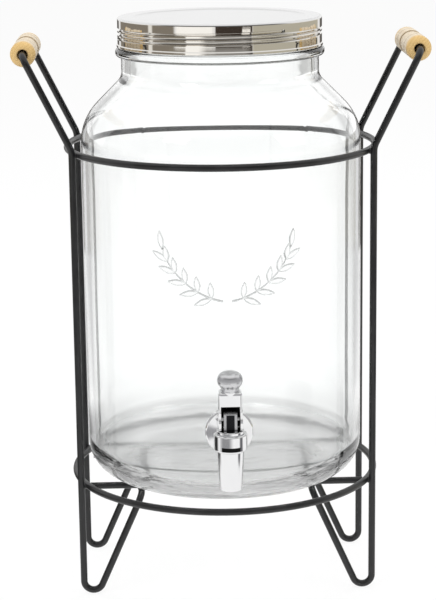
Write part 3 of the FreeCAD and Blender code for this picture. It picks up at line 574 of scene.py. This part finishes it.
def chrome_plate(name, shade_box=None, satin_above=None):
    """Chrome, with a box of painted shade in black, and satin above a height.

    The box of painted shade is its half width, its lowest and highest points, its front and its
    back.
    """
    material, board = new_material(name)
    place = object_place(board)
    x, y, z = board.split(place)
    wipes = noise(board, place, 70.0, 3.0)
    colour = board.mix_colour(wipes, *CHROME)
    dull = 0.05 + wipes * 0.06
    if shade_box:
        half_width, low, high, front, back = shade_box
        # Painted shade: inside the box the chrome is painted black and made duller
        inside = (x.size() < half_width) * (z > low) * (z < high) * (y > front) * (y < back)
        colour = board.mix_colour(inside, colour, PAINTED_SHADE_BLACK)
        dull = dull + inside * 0.3
    if satin_above:
        satin = z.ramp(satin_above - SATIN_EDGE, satin_above + SATIN_EDGE)
        colour = board.mix_colour(satin, colour, SATIN_CHROME)
        dull = dull + satin * 0.2
    finish_material(board, {
        "Base Color": colour,
        "Metallic": 1.0,
        "Roughness": dull,
        "Normal": bump(board, noise(board, place, 240.0, 1.0), 0.01 * MM, 0.3),
    })
    return material


lid_low, lid_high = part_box("lid_cap")
lid_steel, board = new_material("polished_lid_steel")
place = object_place(board)
x, y, z = board.split(place)
radius = board.length(x, y)
lathe = noise(board, board.vector(radius * 2600.0, z * 2600.0, 0.0), 1.0, 2.0)
smears = noise(board, place, 28.0, 3.0)
on_top = z.ramp(lid_high.z - LID_TOP_EDGE[0], lid_high.z - LID_TOP_EDGE[1])
# The rolled thread pulls the metal round it into soft waves
above = z - lid_low.z
rows = above.ramp(LID_ROWS[0], LID_ROWS[0] + LID_ROWS_FADE)
rows = rows * (1 - above.ramp(LID_ROWS[1] - LID_ROWS_FADE, LID_ROWS[1]))
wave = (above * (2 * math.pi / LID_ROW_PITCH)).sine() * rows
finish_material(board, {
    "Base Color": board.mix_colour(on_top, board.mix_colour(smears, *LID_STEEL), LID_TOP_STEEL),
    "Metallic": 1.0,
    "Roughness": 0.02 + smears * 0.03 + lathe * 0.01 + on_top * 0.15,
    "Normal": bump(board, wave * WAVE_DEPTH + lathe * LATHE_DEPTH, 1.0, 1.0),
})

chrome = chrome_plate("chrome_plate")

steel, board = new_material("bright_steel")
x, y, z = board.split(object_place(board))
drawn = noise(board, board.vector(x * 300.0, y * 2600.0, z * 2600.0), 1.0, 2.0)
finish_material(board, {
    "Base Color": board.mix_colour(drawn, *BRIGHT_STEEL),
    "Metallic": 1.0,
    "Roughness": 0.22 + drawn * 0.16,
    "Normal": bump(board, drawn, 0.03 * MM, 0.5),
})
print("finishes:", lid_steel.name, chrome.name, steel.name)

# %% [markdown]
# The lever and the tap body
#
# The lever's hood is open at the front. Its inside is painted shade, in black, and its knob is
# brushed to a satin. A band in the corner under the collar of the tap body is a painted shadow, in
# black. The stem stands in the hood, and down its middle, all but its tip, it is painted shade in
# black too.

# %% Lever, tap body and stem
HOOD_HALF_WIDTH = 6.56 * MM
HOOD_HEIGHT = 17.3 * MM
HOOD_FRONT_SKIN = 0.05 * MM
HOOD_BACK_SKIN = 0.6 * MM
KNOB_HEIGHT = 27.0 * MM
# The band under the collar of the tap body that is painted black as a shadow
COLLAR_SHADE_HALF_WIDTH = 6.4 * MM
COLLAR_SHADE_HEIGHTS = (135.9 * MM, 138.9 * MM)
COLLAR_SHADE_FRONT = TAP_AXIS[1] - 20.0 * MM
COLLAR_SHADE_BACK = TAP_AXIS[1] - 1.0 * MM

lever_low, lever_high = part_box("tap_lever")
# The box inside the lever's hood that is painted black as shade
hood_painted_shade = (HOOD_HALF_WIDTH, lever_low.z, lever_low.z + HOOD_HEIGHT,
               lever_low.y + HOOD_FRONT_SKIN, lever_high.y - HOOD_BACK_SKIN)
lever_chrome = chrome_plate("chrome_hood", hood_painted_shade, lever_low.z + KNOB_HEIGHT)
# The box under the collar that is painted black as a shadow
corner = (COLLAR_SHADE_HALF_WIDTH, *COLLAR_SHADE_HEIGHTS, COLLAR_SHADE_FRONT, COLLAR_SHADE_BACK)
body_chrome = chrome_plate("chrome_body", corner)

_, stem_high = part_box("tap_stem")
stem_finish, board = new_material("stem_steel")
place = object_place(board)
x, _, z = board.split(place)
# Painted shade: the stem is painted black down its middle, all but its tip, where it stands in the
# hood
middle = 1 - x.size().ramp(STEM_SHADE_HALF, STEM_SHADE_HALF + STEM_SHADE_EDGE)
below = 1 - z.ramp(stem_high.z - STEM_TIP[0], stem_high.z - STEM_TIP[1])
marks = noise(board, place, 420.0, 2.0)
finish_material(board, {
    "Base Color": board.mix_colour(middle * below, STEM_STEEL, STEM_PAINTED_SHADE),
    "Metallic": 1.0,
    "Roughness": 0.22 + marks * 0.12,
    "Normal": bump(board, marks, 0.01 * MM, 0.4),
})
print("finishes:", lever_chrome.name, body_chrome.name, stem_finish.name)

# %% [markdown]
# Seals and liner
#
# The washers on both sides of the glass, the O-ring and the valve seat are pale silicone that lets
# some light through. The liner inside the lid is a white foam disc with fine pores.

# %% Silicone and foam
SILICONE = ((0.80, 0.80, 0.78, 1), (0.90, 0.90, 0.89, 1))
SILICONE_IOR = 1.41
FOAM = ((0.70, 0.70, 0.68, 1), (0.90, 0.90, 0.88, 1))

seal, board = new_material("pale_silicone")
cloud = noise(board, object_place(board), 320.0, 2.0)
finish_material(board, {
    "Base Color": board.mix_colour(cloud, *SILICONE),
    "Roughness": 0.34 + cloud * 0.14,
    "Transmission Weight": 0.45,
    "IOR": SILICONE_IOR,
    "Normal": bump(board, cloud, 0.05 * MM, 0.4),
})

foam, board = new_material("liner_foam")
inputs = {"Vector": object_place(board), "Scale": 1400.0}
pores = board.node("ShaderNodeTexVoronoi", {}, inputs)["Distance"]
finish_material(board, {
    "Base Color": board.mix_colour(pores, *FOAM),
    "Roughness": 0.75,
    "Normal": bump(board, pores, 0.1 * MM, 0.6),
})
print("finishes:", seal.name, foam.name)

# %% [markdown]
# Pressed glass
#
# The jar is clear soda-lime glass. Pressed glass is never quite even: its surface has slow swells
# that bend what is seen through it, and its heel and underside, where it touched the mould, are
# rougher and wavier. Shadow rays pass straight through the glass and lose a little, because its
# real shadow is thin, and waiting for bent light to fill it would only leave the picture grainy.

# %% Glass
PROUD_NAME = "proud"
GLASS_IOR = 1.5
GLASS_TINT = ((0.965, 0.975, 0.972, 1), (0.985, 0.99, 0.988, 1))
# The painted shade on the steep sides of the wreath
PAINTED_SLOPE_SHADE = (0.36, 0.37, 0.37, 1)
SHADOW_PASS = (0.93, 0.93, 0.93, 1)
SWELL_DEPTH = 1.1 * MM
# Pairs are where a change starts and where it is complete: two of them are heights above the
# underside, and the last one runs from the front to the back
HEEL_BAND = (12.0 * MM, 30.0 * MM)
UNDER_BAND = (2.5 * MM, 7.5 * MM)
BACK_BAND = (-20.0 * MM, 50.0 * MM)

jar_low, jar_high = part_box("glass_jar")
BASE = jar_low.z
glass, board = new_material("clear_glass")
x, y, z = board.split(object_place(board))
swell = noise(board, board.vector(x, y, z * 0.6), 13.0, 1.0)
waves = noise(board, board.vector(x, y, z * 5.0), 34.0, 2.0)
patches = noise(board, board.vector(x, y, z * 3.0), 55.0, 3.0)
low = 1 - z.ramp(BASE + HEEL_BAND[0], BASE + HEEL_BAND[1])
under = 1 - z.ramp(BASE + UNDER_BAND[0], BASE + UNDER_BAND[1])
behind = y.ramp(*BACK_BAND)
# The steep side of a pressed shape bends the light away, and is also tinted dark: a painted line of
# shade
proud = board.node("ShaderNodeAttribute", {"attribute_name": PROUD_NAME})["Fac"]
side = proud.ramp(0.04, 0.30) * (1 - proud.ramp(0.45, 0.80))
shader = board.node("ShaderNodeBsdfPrincipled", {}, {
    "Base Color": board.mix_colour(side * 0.9, board.mix_colour(swell, *GLASS_TINT), PAINTED_SLOPE_SHADE),
    "Roughness": under * (0.22 + patches * 0.30) + low * (0.05 + behind * 0.34) * (1 - under),
    "IOR": GLASS_IOR,
    "Transmission Weight": 1.0,
    "Normal": bump(board, swell + low * waves * 1.6, SWELL_DEPTH, 0.5),
})
passing = board.node("ShaderNodeBsdfTransparent", {}, {"Color": SHADOW_PASS})
is_shadow = board.node("ShaderNodeLightPath")["Is Shadow Ray"]
mixed = board.node("ShaderNodeMixShader", {}, {0: is_shadow, 1: shader[0], 2: passing[0]})
board.node("ShaderNodeOutputMaterial", {}, {"Surface": mixed[0]})
print("finish:", glass.name)

# %% [markdown]
# From a tree to a plain mesh
#
# Geometry Nodes grow the parts that follow a rule. Each tree is a recipe with named inputs. It is
# set on an empty host, evaluated once, and the result is copied to a plain mesh, because the
# exported part holds no modifiers. The host and its modifier are then removed.

# %% Growing a mesh
class Recipe(Board):
    """A Geometry Nodes tree with named inputs."""

    def __init__(self, name):
        super().__init__(bpy.data.node_groups.new(name, "GeometryNodeTree"))
        self.new_socket("Geometry", "OUTPUT", "Geometry")
        self.entry = self.tree.nodes.new("NodeGroupInput")
        self.values = {}

    def new_socket(self, name, end, kind):
        kind = "NodeSocket" + kind
        return self.tree.interface.new_socket(name, in_out=end, socket_type=kind)

    def input(self, name, kind, value):
        socket = self.new_socket(name, "INPUT", kind)
        self.values[socket.identifier] = value
        return Flow(self, self.entry.outputs[name])

    def copies(self, count, place, shape, rotation=(0.0, 0.0, 0.0)):
        points = self.node("GeometryNodePoints", {}, {"Count": count, "Position": place})
        inputs = {"Points": points[0], "Instance": shape, "Rotation": rotation}
        return self.node("GeometryNodeInstanceOnPoints", {}, inputs)[0]

    def joined(self, parts):
        whole = self.node("GeometryNodeJoinGeometry", {}, {0: parts})
        return self.node("GeometryNodeRealizeInstances", {}, {0: whole[0]})[0]

    def end(self, geometry, material):
        real = self.node("GeometryNodeRealizeInstances", {}, {0: geometry})
        inputs = {"Geometry": real[0], "Material": material}
        dressed = self.node("GeometryNodeSetMaterial", {}, inputs)
        self.node("NodeGroupOutput", {}, {0: dressed[0]})


def grow(name, recipe):
    """Evaluate a recipe and return its result as a plain mesh object."""
    host = bpy.data.objects.new(name + "_host", bpy.data.meshes.new(name + "_host"))
    scene.collection.objects.link(host)
    modifier = host.modifiers.new("grow", "NODES")
    modifier.node_group = recipe.tree
    for identifier, value in recipe.values.items():
        modifier[identifier] = value
    depsgraph = bpy.context.evaluated_depsgraph_get()
    mesh = bpy.data.meshes.new_from_object(host.evaluated_get(depsgraph))
    mesh.name = name
    host.modifiers.clear()
    bpy.data.objects.remove(host)
    made = bpy.data.objects.new(name, mesh)
    scene.collection.objects.link(made)
    mesh.calc_loop_triangles()
    print("%s: %d points, %d triangles" % (name, len(mesh.vertices), len(mesh.loop_triangles)))
    return made


print("helpers ready: Recipe, grow")

# %% [markdown]
# The wreath
#
# Two laurel branches curve up from the middle of the jar's front. The leaves sit in pairs along a
# quarter of a circle, one leaning out and one leaning in, with one leaf at the tip: a rule, so the
# leaves are instances. The wreath is grown flat, as if the glass were unrolled, with X along the
# surface and the height of the relief along -Y. The jar then reads it like a stamp.

# %% Wreath stamp
BRANCH_REACH = 48.0 * MM
BRANCH_BOTTOM = 232.6 * MM
BRANCH_WIDTH = 1.5 * MM
BRANCH_BEND = 0.85
LEAF_LENGTH = 14.0 * MM
INNER_LENGTH = 12.0 * MM
LEAF_WIDTH = 4.8 * MM
LEAF_PAIRS = 5
LEAF_GRID = (17, 11)
STEM_GRID = (60, 5)
RELIEF = 1.0 * MM
STEM_RELIEF = 0.7
# Turns along the branch: of the first pair of leaves, from pair to pair, and of the stem's start
FIRST_LEAF = math.radians(13.0)
LEAF_STEP = math.radians(12.0)
STEM_START = 0.06
# Directions of the leaves in degrees: of the first one, and how much each next one adds
OUTER_FAN = (-22.0, 13.3)
INNER_FAN = (84.0, -1.5)
TIP_DIRECTION = 80.0


def unit_grid(recipe, counts):
    """A flat grid, and the place of its points along it, 0 to 1, and across it, -1 to 1."""
    size = {"Size X": 1.0, "Size Y": 2.0, "Vertices X": counts[0], "Vertices Y": counts[1]}
    grid = recipe.node("GeometryNodeMeshGrid", {}, size)
    x, y, _ = recipe.split(recipe.node("GeometryNodeInputPosition")[0])
    return grid[0], x + 0.5, y


def moved(recipe, geometry, position):
    inputs = {"Geometry": geometry, "Position": position}
    return recipe.node("GeometryNodeSetPosition", {}, inputs)[0]


def leaf(recipe, length, width, height):
    """A pointed pad with steep sides and a midrib, from the origin along X."""
    grid, run, across = unit_grid(recipe, LEAF_GRID)
    swell = (run.power(0.85) * math.pi).sine().most(0.0)
    pad = 1 - across.size().power(6.0)
    rib = 1 - across.size().ramp(0.0, 0.35)
    rise = pad * (0.7 + rib * 0.3) * height * swell.power(0.3)
    return moved(recipe, grid, recipe.vector(run * length, rise * -1, across * width * 0.5 * swell))


def along_branch(turn, radius, bottom):
    """The place on the branch after a turn in radians, as distance along the glass and height."""
    return radius * turn.sine(), bottom + radius * (1 - turn.cosine()).power(BRANCH_BEND)


def wreath_recipe():
    recipe = Recipe("wreath")
    radius = recipe.input("Branch reach", "Float", BRANCH_REACH)
    bottom = recipe.input("Branch bottom", "Float", BRANCH_BOTTOM)
    outer_length = recipe.input("Outer leaf length", "Float", LEAF_LENGTH)
    inner_length = recipe.input("Inner leaf length", "Float", INNER_LENGTH)
    width = recipe.input("Leaf width", "Float", LEAF_WIDTH)
    height = recipe.input("Relief", "Float", RELIEF)
    pairs = recipe.input("Pairs", "Int", LEAF_PAIRS)
    index = recipe.node("GeometryNodeInputIndex")[0]
    pair_turn = index * LEAF_STEP + FIRST_LEAF
    tip_turn = pairs * LEAF_STEP + FIRST_LEAF
    # Each row: length of a leaf, how many, its turn along the branch, its direction in degrees
    rows = (
        (outer_length, pairs, pair_turn, index * OUTER_FAN[1] + OUTER_FAN[0]),
        (inner_length, pairs, pair_turn, index * INNER_FAN[1] + INNER_FAN[0]),
        (outer_length, 1, index + tip_turn, index + TIP_DIRECTION),
    )
    parts = []
    for length, count, turn, direction in rows:
        along, level = along_branch(turn, radius, bottom)
        place = recipe.vector(along, 0.0, level)
        pointing = recipe.vector(0.0, direction * (-math.pi / 180), 0.0)
        parts.append(recipe.copies(count, place, leaf(recipe, length, width, height), pointing))
    # The stem is a half-round ribbon along the same branch
    strip, run, across = unit_grid(recipe, STEM_GRID)
    along, level = along_branch(run * tip_turn + STEM_START, radius, bottom)
    rise = (1 - across.power(2.0)) * height * STEM_RELIEF
    bow = recipe.vector(along, rise * -1, level + across * (BRANCH_WIDTH / 2))
    parts.append(moved(recipe, strip, bow))
    side = recipe.joined(parts)
    mirrored = recipe.node("GeometryNodeTransform", {}, {0: side, "Scale": (-1.0, 1.0, 1.0)})
    recipe.end(recipe.joined([side, mirrored[0]]), None)
    return recipe


wreath_stamp = grow("wreath_stamp", wreath_recipe())

# %% [markdown]
# The jar
#
# A jar is an outline turned about an axis. The outline is written as corners with the radius that
# rounds each one, and becomes a row of points: close together where the wreath and the thread are,
# and wide apart on plain walls. The tree then lays a grid round the axis, one row of the grid for
# each point of the outline, with its columns closer together at the front. There each point moves
# out by the height of the wreath stamp, and on the finish by the height of the thread. The tap
# hole is cut last.

# %% Outline of the jar
JAR_RADIUS = round((jar_high.x - jar_low.x) / 2, 5)
HEIGHT = jar_high.z - jar_low.z
WALL = 4.5 * MM
GLASS_FLOOR = 9.0 * MM
NECK_RADIUS = 71.5 * MM
MOUTH_RADIUS = 66.0 * MM
FINISH_RADIUS = 71.0 * MM
FINISH_HEIGHT = 20.3 * MM
RIM_ROUND = 1.5 * MM
BEAD_RADIUS = 75.5 * MM
BEAD_THICKNESS = 6.0 * MM
BEAD_ROUND = 0.4 * BEAD_THICKNESS
NECK_STRAIGHT = 15.3 * MM
NECK_ROUND = 10.0 * MM
SHOULDER_ROUND = 40.0 * MM
HEEL_ROUND = 24.0 * MM
PUSH_UP = 1.6 * MM
PUSH_UP_RADIUS = 66.0 * MM
HALF_SLOPE = math.tan(math.radians(22.5))
# Heights above the base between which the wreath needs close rows, and the same for the thread
# above the bead. Fine and coarse are the distances between rows.
WREATH_BAND = (142.0 * MM, 203.0 * MM)
THREAD_BAND = 14.5 * MM
FINE = 0.62 * MM
COARSE = 9.0 * MM
ARC_STEP = math.radians(5)

bead_top = HEIGHT - FINISH_HEIGHT
bead_bottom = bead_top - BEAD_THICKNESS
neck_corner = bead_bottom - NECK_STRAIGHT
shoulder_corner = neck_corner - (JAR_RADIUS - NECK_RADIUS)
inner_radius = JAR_RADIUS - WALL
inner_corner = shoulder_corner - WALL * HALF_SLOPE
mouth_corner = inner_corner + inner_radius - MOUTH_RADIUS

# Each corner: radius from the axis, height above the base, rounding, spacing of the run before it
jar_corners = [
    (0.0, PUSH_UP, 0.0, COARSE),
    (PUSH_UP_RADIUS, PUSH_UP, 0.0, COARSE),
    (PUSH_UP_RADIUS + 2 * PUSH_UP, 0.0, 0.0, COARSE),
    (JAR_RADIUS, 0.0, HEEL_ROUND, COARSE),
    (JAR_RADIUS, WREATH_BAND[0], 0.0, COARSE),
    (JAR_RADIUS, WREATH_BAND[1], 0.0, FINE),
    (JAR_RADIUS, shoulder_corner, SHOULDER_ROUND, COARSE),
    (NECK_RADIUS, neck_corner, NECK_ROUND, COARSE),
    (NECK_RADIUS, bead_bottom, 0.0, COARSE),
    (BEAD_RADIUS, bead_bottom, BEAD_ROUND, COARSE),
    (BEAD_RADIUS, bead_top, BEAD_ROUND, COARSE),
    (FINISH_RADIUS, bead_top, 0.0, COARSE),
    (FINISH_RADIUS, bead_top + THREAD_BAND, 0.0, FINE * 0.7),
    (FINISH_RADIUS, HEIGHT, RIM_ROUND, COARSE),
    (MOUTH_RADIUS, HEIGHT, RIM_ROUND, COARSE),
    (MOUTH_RADIUS, mouth_corner, NECK_ROUND + WALL, COARSE),
    (inner_radius, inner_corner, SHOULDER_ROUND - WALL, COARSE),
    (inner_radius, GLASS_FLOOR, HEEL_ROUND - WALL, 3 * COARSE),
    (0.0, GLASS_FLOOR, 0.0, COARSE),
]


def arc_points(corner, back, ahead, rounding):
    """Points on the arc that rounds a corner. Back and ahead are directions along its sides."""
    half = math.acos(max(-1.0, min(1.0, back.dot(ahead)))) / 2
    centre = corner + (back + ahead).normalized() * (rounding / math.sin(half))
    first = corner + back * (rounding / math.tan(half)) - centre
    swing = math.pi - 2 * half
    turning = 1 if back.x * ahead.y - back.y * ahead.x < 0 else -1
    steps = max(2, round(swing / ARC_STEP))
    points = []
    for step in range(steps + 1):
        angle = turning * swing * step / steps
        c, s = math.cos(angle), math.sin(angle)
        points.append(centre + Vector((first.x * c - first.y * s, first.x * s + first.y * c)))
    return points


def outline_points(corners):
    """Points along the straight runs and along the arcs between them."""
    points = []
    for index, (r, z, rounding, spacing) in enumerate(corners):
        corner = Vector((r, z))
        stretch = [corner]
        if rounding > 0:
            back = (Vector(corners[index - 1][:2]) - corner).normalized()
            ahead = (Vector(corners[index + 1][:2]) - corner).normalized()
            stretch = arc_points(corner, back, ahead, rounding)
        if points:
            start = points[-1]
            pieces = max(1, round((stretch[0] - start).length / spacing))
            points.extend(start.lerp(stretch[0], piece / pieces) for piece in range(1, pieces))
        points.extend(stretch)
    return points


profile = outline_points(jar_corners)
profile_places = [(point.x, 0, point.y + BASE) for point in profile]
profile_edges = [(i, i + 1) for i in range(len(profile) - 1)]
profile_mesh = bpy.data.meshes.new("jar_outline")
profile_mesh.from_pydata(profile_places, profile_edges, [])
jar_outline = bpy.data.objects.new("jar_outline", profile_mesh)
scene.collection.objects.link(jar_outline)
print("outline of the jar:", len(profile), "points")

# %% Turning the jar
FRONT_HALF_ANGLE = 36.0
FRONT_COLUMNS = 184
SIDE_COLUMNS = 48
HAIR = 0.01 * MM
THREAD_LEAD = 6.2 * MM
THREAD_DEPTH = 1.5 * MM
THREAD_WIDTH = 1.9 * MM
THREAD_TURNS = 1.2
THREAD_START = BASE + HEIGHT - 14.94 * MM
THREAD_FADE = (-1.2 * MM, 1.0 * MM)
TAP_HEIGHT = 140.0 * MM
TAP_HOLE_RADIUS = 8.25 * MM
TAP_HOLE_SIDES = 64
SMOOTH_BELOW = math.radians(35)
# The stamp is read by rays that start in front of it
RAY_START = -0.1
RAY_LENGTH = 0.2


def thread_height(angle, level, radius):
    """Two starts of screw thread, which run round the finish and fade out at their ends."""
    rise = level - THREAD_START - (angle - math.pi / 2) * (THREAD_LEAD / (2 * math.pi))
    half_lead = THREAD_LEAD / 2
    past = rise.remainder(half_lead)
    off_centre = past.least(half_lead - past)
    crest = 1 - off_centre.ramp(THREAD_WIDTH * 0.2, THREAD_WIDTH * 0.5)
    run = level - THREAD_START
    end = THREAD_LEAD * THREAD_TURNS
    fade = run.ramp(*THREAD_FADE) * (1 - run.ramp(end - THREAD_FADE[1], end - THREAD_FADE[0]))
    on_finish = (radius > (FINISH_RADIUS - HAIR)) * (radius < (FINISH_RADIUS + HAIR))
    return crest * fade * on_finish * THREAD_DEPTH


def wreath_height(recipe, stamp, angle, level, radius):
    """How far the wreath stands proud of the outer wall."""
    shape = recipe.node("GeometryNodeObjectInfo", {}, {"Object": stamp})["Geometry"]
    hit = recipe.node("GeometryNodeRaycast", {}, {
        "Target Geometry": shape,
        "Source Position": recipe.vector(angle * JAR_RADIUS, RAY_START, level),
        "Ray Direction": (0.0, 1.0, 0.0),
        "Ray Length": RAY_LENGTH,
    })
    _, stamp_y, _ = recipe.split(hit["Hit Position"])
    return stamp_y * -1 * hit["Is Hit"] * (radius > (JAR_RADIUS - HAIR))


def bored(recipe, geometry):
    """The geometry with the hole for the tap cut through its front."""
    drill = recipe.node("GeometryNodeMeshCylinder", {}, {
        "Vertices": TAP_HOLE_SIDES, "Radius": TAP_HOLE_RADIUS, "Depth": 4 * WALL,
    })
    in_place = recipe.node("GeometryNodeTransform", {}, {
        0: drill["Mesh"],
        "Translation": (0.0, -JAR_RADIUS + WALL / 2, TAP_HEIGHT),
        "Rotation": (math.pi / 2, 0.0, 0.0),
    })
    settings = {"operation": "DIFFERENCE", "solver": "EXACT"}
    return recipe.node("GeometryNodeMeshBoolean", settings, {0: geometry, 1: in_place[0]})[0]


def jar_recipe(outline_object, stamp_object, material):
    recipe = Recipe("turned_jar")
    outline = recipe.input("Outline", "Object", outline_object)
    stamp = recipe.input("Stamp", "Object", stamp_object)
    front = recipe.input("Front half angle", "Float", FRONT_HALF_ANGLE)
    rows = recipe.input("Rows", "Int", len(profile))
    columns = FRONT_COLUMNS + 2 * SIDE_COLUMNS
    grid = recipe.node("GeometryNodeMeshGrid", {}, {
        "Size X": float(columns), "Size Y": rows - 1, "Vertices X": columns + 1, "Vertices Y": rows,
    })
    place = recipe.node("GeometryNodeInputPosition")[0]
    x, y, _ = recipe.split(place)
    column = x + columns / 2
    row = y + (rows - 1) / 2
    # Angle in degrees from the front, in three stretches of even columns
    side_step = (180 - front) / SIDE_COLUMNS
    front_end = SIDE_COLUMNS + FRONT_COLUMNS
    left = column.within(0.0, SIDE_COLUMNS) * side_step
    middle = (column - SIDE_COLUMNS).within(0.0, FRONT_COLUMNS) * (front * 2 / FRONT_COLUMNS)
    far = (column - front_end).within(0.0, SIDE_COLUMNS) * side_step
    angle = (left + middle + far - 180) * math.pi / 180
    source = recipe.node("GeometryNodeObjectInfo", {}, {"Object": outline})["Geometry"]
    whole_row = recipe.node("FunctionNodeFloatToInt", {"rounding_mode": "ROUND"}, {0: row})[0]
    sampled = recipe.node("GeometryNodeSampleIndex", {"data_type": "FLOAT_VECTOR"}, {
        "Geometry": source, "Value": place, "Index": whole_row,
    })[0]
    radius, _, level = recipe.split(sampled)
    relief = wreath_height(recipe, stamp, angle, level, radius)
    marked = recipe.node("GeometryNodeStoreNamedAttribute", {}, {
        "Geometry": grid[0], "Name": PROUD_NAME, "Value": relief / RELIEF,
    })
    out = radius + relief + thread_height(angle, level, radius)
    round_axis = recipe.vector(out * angle.sine(), out * angle.cosine() * -1, level)
    turned = moved(recipe, marked[0], round_axis)
    shut = recipe.node("GeometryNodeMergeByDistance", {}, {"Geometry": turned, "Distance": HAIR})
    bend = recipe.node("GeometryNodeInputMeshEdgeAngle")[0]
    smooth = bored(recipe, shut[0])
    for domain, shade in (("EDGE", bend < SMOOTH_BELOW), ("FACE", True)):
        inputs = {0: smooth, "Shade Smooth": shade}
        smooth = recipe.node("GeometryNodeSetShadeSmooth", {"domain": domain}, inputs)[0]
    recipe.end(smooth, material)
    return recipe


glass_jar = grow("pressed_jar", jar_recipe(jar_outline, wreath_stamp, glass))
for helper in (jar_outline, wreath_stamp):
    bpy.data.objects.remove(helper)
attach(glass_jar, "jar")
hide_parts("glass_jar")

# %% [markdown]
# Weld beads
#
# The wires of the stand are joined by resistance welds: a little metal is squeezed out where two
# wires cross, and the coat covers it. The same small bead sits at every crossing, so one bead is
# placed by a rule: two rings times four legs, and two bars times two side runs.

# %% Weld beads
RING_CROSSING = Vector((104.44, 46.96, 0.0)) * MM
RING_HEIGHTS = (83.0 * MM, 327.5 * MM)
RING_WELDS = 8
BAR_CROSSING = Vector((63.6, 38.0, 77.5)) * MM
BAR_WELDS = 4
WELD_RADIUS = 2.35 * MM


def bead_recipe(material):
    recipe = Recipe("weld_beads")
    radius = recipe.input("Bead radius", "Float", WELD_RADIUS)
    lower = recipe.input("Lower ring", "Float", RING_HEIGHTS[0])
    upper = recipe.input("Upper ring", "Float", RING_HEIGHTS[1])
    # Counting up, a point changes side each time, depth every second time and ring every fourth
    index = recipe.node("GeometryNodeInputIndex")[0]
    side = index.remainder(2.0) * 2 - 1
    depth = (index / 2).whole().remainder(2.0) * 2 - 1
    ring = (index / 4).whole()
    at_rings = recipe.vector(side * RING_CROSSING.x, depth * RING_CROSSING.y,
                             lower + ring * (upper - lower))
    at_bars = recipe.vector(side * BAR_CROSSING.x, depth * BAR_CROSSING.y, BAR_CROSSING.z)
    bead = recipe.node("GeometryNodeMeshIcoSphere", {}, {"Radius": radius, "Subdivisions": 2})
    rows = ((RING_WELDS, at_rings), (BAR_WELDS, at_bars))
    both = recipe.joined([recipe.copies(count, place, bead[0]) for count, place in rows])
    smooth = recipe.node("GeometryNodeSetShadeSmooth", {}, {0: both})
    recipe.end(smooth[0], material)
    return recipe


beads = grow("weld_beads", bead_recipe(coat))
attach(beads, "stand")

# %% [markdown]
# Valve spring
#
# Inside the collar an open coil of hard-drawn stainless wire pushes the stem down. It is wound on a
# mandrel, and heated afterwards to set it. A coil follows a rule, so it is a spiral with a round
# section. When the lever lifts the stem, the real coil is pressed towards the collar and gets
# shorter;
# here it is made once, at its free length.

# %% Valve spring
SPRING_WIRE = 0.7 * MM
SPRING_RADIUS = 3.7 * MM
SPRING_TURNS = 5.0
SPRING_STEPS = 40
SPRING_SIDES = 12


def spring_recipe(foot_height, free_length, material):
    recipe = Recipe("valve_spring")
    radius = recipe.input("Coil radius", "Float", SPRING_RADIUS)
    wire = recipe.input("Wire", "Float", SPRING_WIRE)
    turns = recipe.input("Turns", "Float", SPRING_TURNS)
    foot = recipe.input("Foot height", "Float", foot_height)
    length = recipe.input("Free length", "Float", free_length)
    # Reversed, the spiral climbs as a right-hand coil
    coil = recipe.node("GeometryNodeCurveSpiral", {}, {
        "Resolution": SPRING_STEPS, "Rotations": turns, "Start Radius": radius,
        "End Radius": radius, "Height": length - wire, "Reverse": True,
    })
    circle = {"Resolution": SPRING_SIDES, "Radius": wire / 2}
    section = recipe.node("GeometryNodeCurvePrimitiveCircle", {}, circle)
    tube = recipe.node("GeometryNodeCurveToMesh", {}, {
        "Curve": coil[0], "Profile Curve": section[0], "Fill Caps": True,
    })
    start = recipe.vector(TAP_AXIS[0], TAP_AXIS[1], foot + wire / 2)
    standing = recipe.node("GeometryNodeTransform", {}, {0: tube[0], "Translation": start})
    smooth = recipe.node("GeometryNodeSetShadeSmooth", {}, {0: standing[0]})
    recipe.end(smooth[0], material)
    return recipe


spring_low, spring_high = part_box("stem_spring")
free_length = spring_high.z - spring_low.z
spring = grow("valve_spring", spring_recipe(spring_low.z, free_length, steel))
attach(spring, "jar")
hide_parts("stem_spring")
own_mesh(spring)

# %% [markdown]
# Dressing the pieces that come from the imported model
#
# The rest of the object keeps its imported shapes. Each one gets its finish by name.

# %% Finishes by piece
WIRE_PIECES = ("upper_ring", "lower_ring", "left_side_frame", "right_side_frame",
               "front_cross_bar", "rear_cross_bar")
FINISHES = (
    (coat, WIRE_PIECES),
    (left_wood, ("left_grip",)),
    (right_wood, ("right_grip",)),
    (lid_steel, ("lid_cap",)),
    (foam, ("lid_liner",)),
    (body_chrome, ("tap_body",)),
    (chrome, ("tap_bonnet", "tap_nut")),
    (lever_chrome, ("tap_lever",)),
    (steel, ("lever_pin",)),
    (stem_finish, ("tap_stem",)),
    (seal, ("stem_seat", "stem_o_ring", "outer_gasket", "inner_gasket")),
)
for material, names in FINISHES:
    for name in names:
        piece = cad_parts[name]
        piece.data.materials.clear()
        piece.data.materials.append(material)
print("dressed:", sum(len(names) for _, names in FINISHES), "pieces")

# %% [markdown]
# The last cell
#
# The picture keeps Blender's plain colour transform.

# %% Finish
scene.view_settings.view_transform = "Standard"
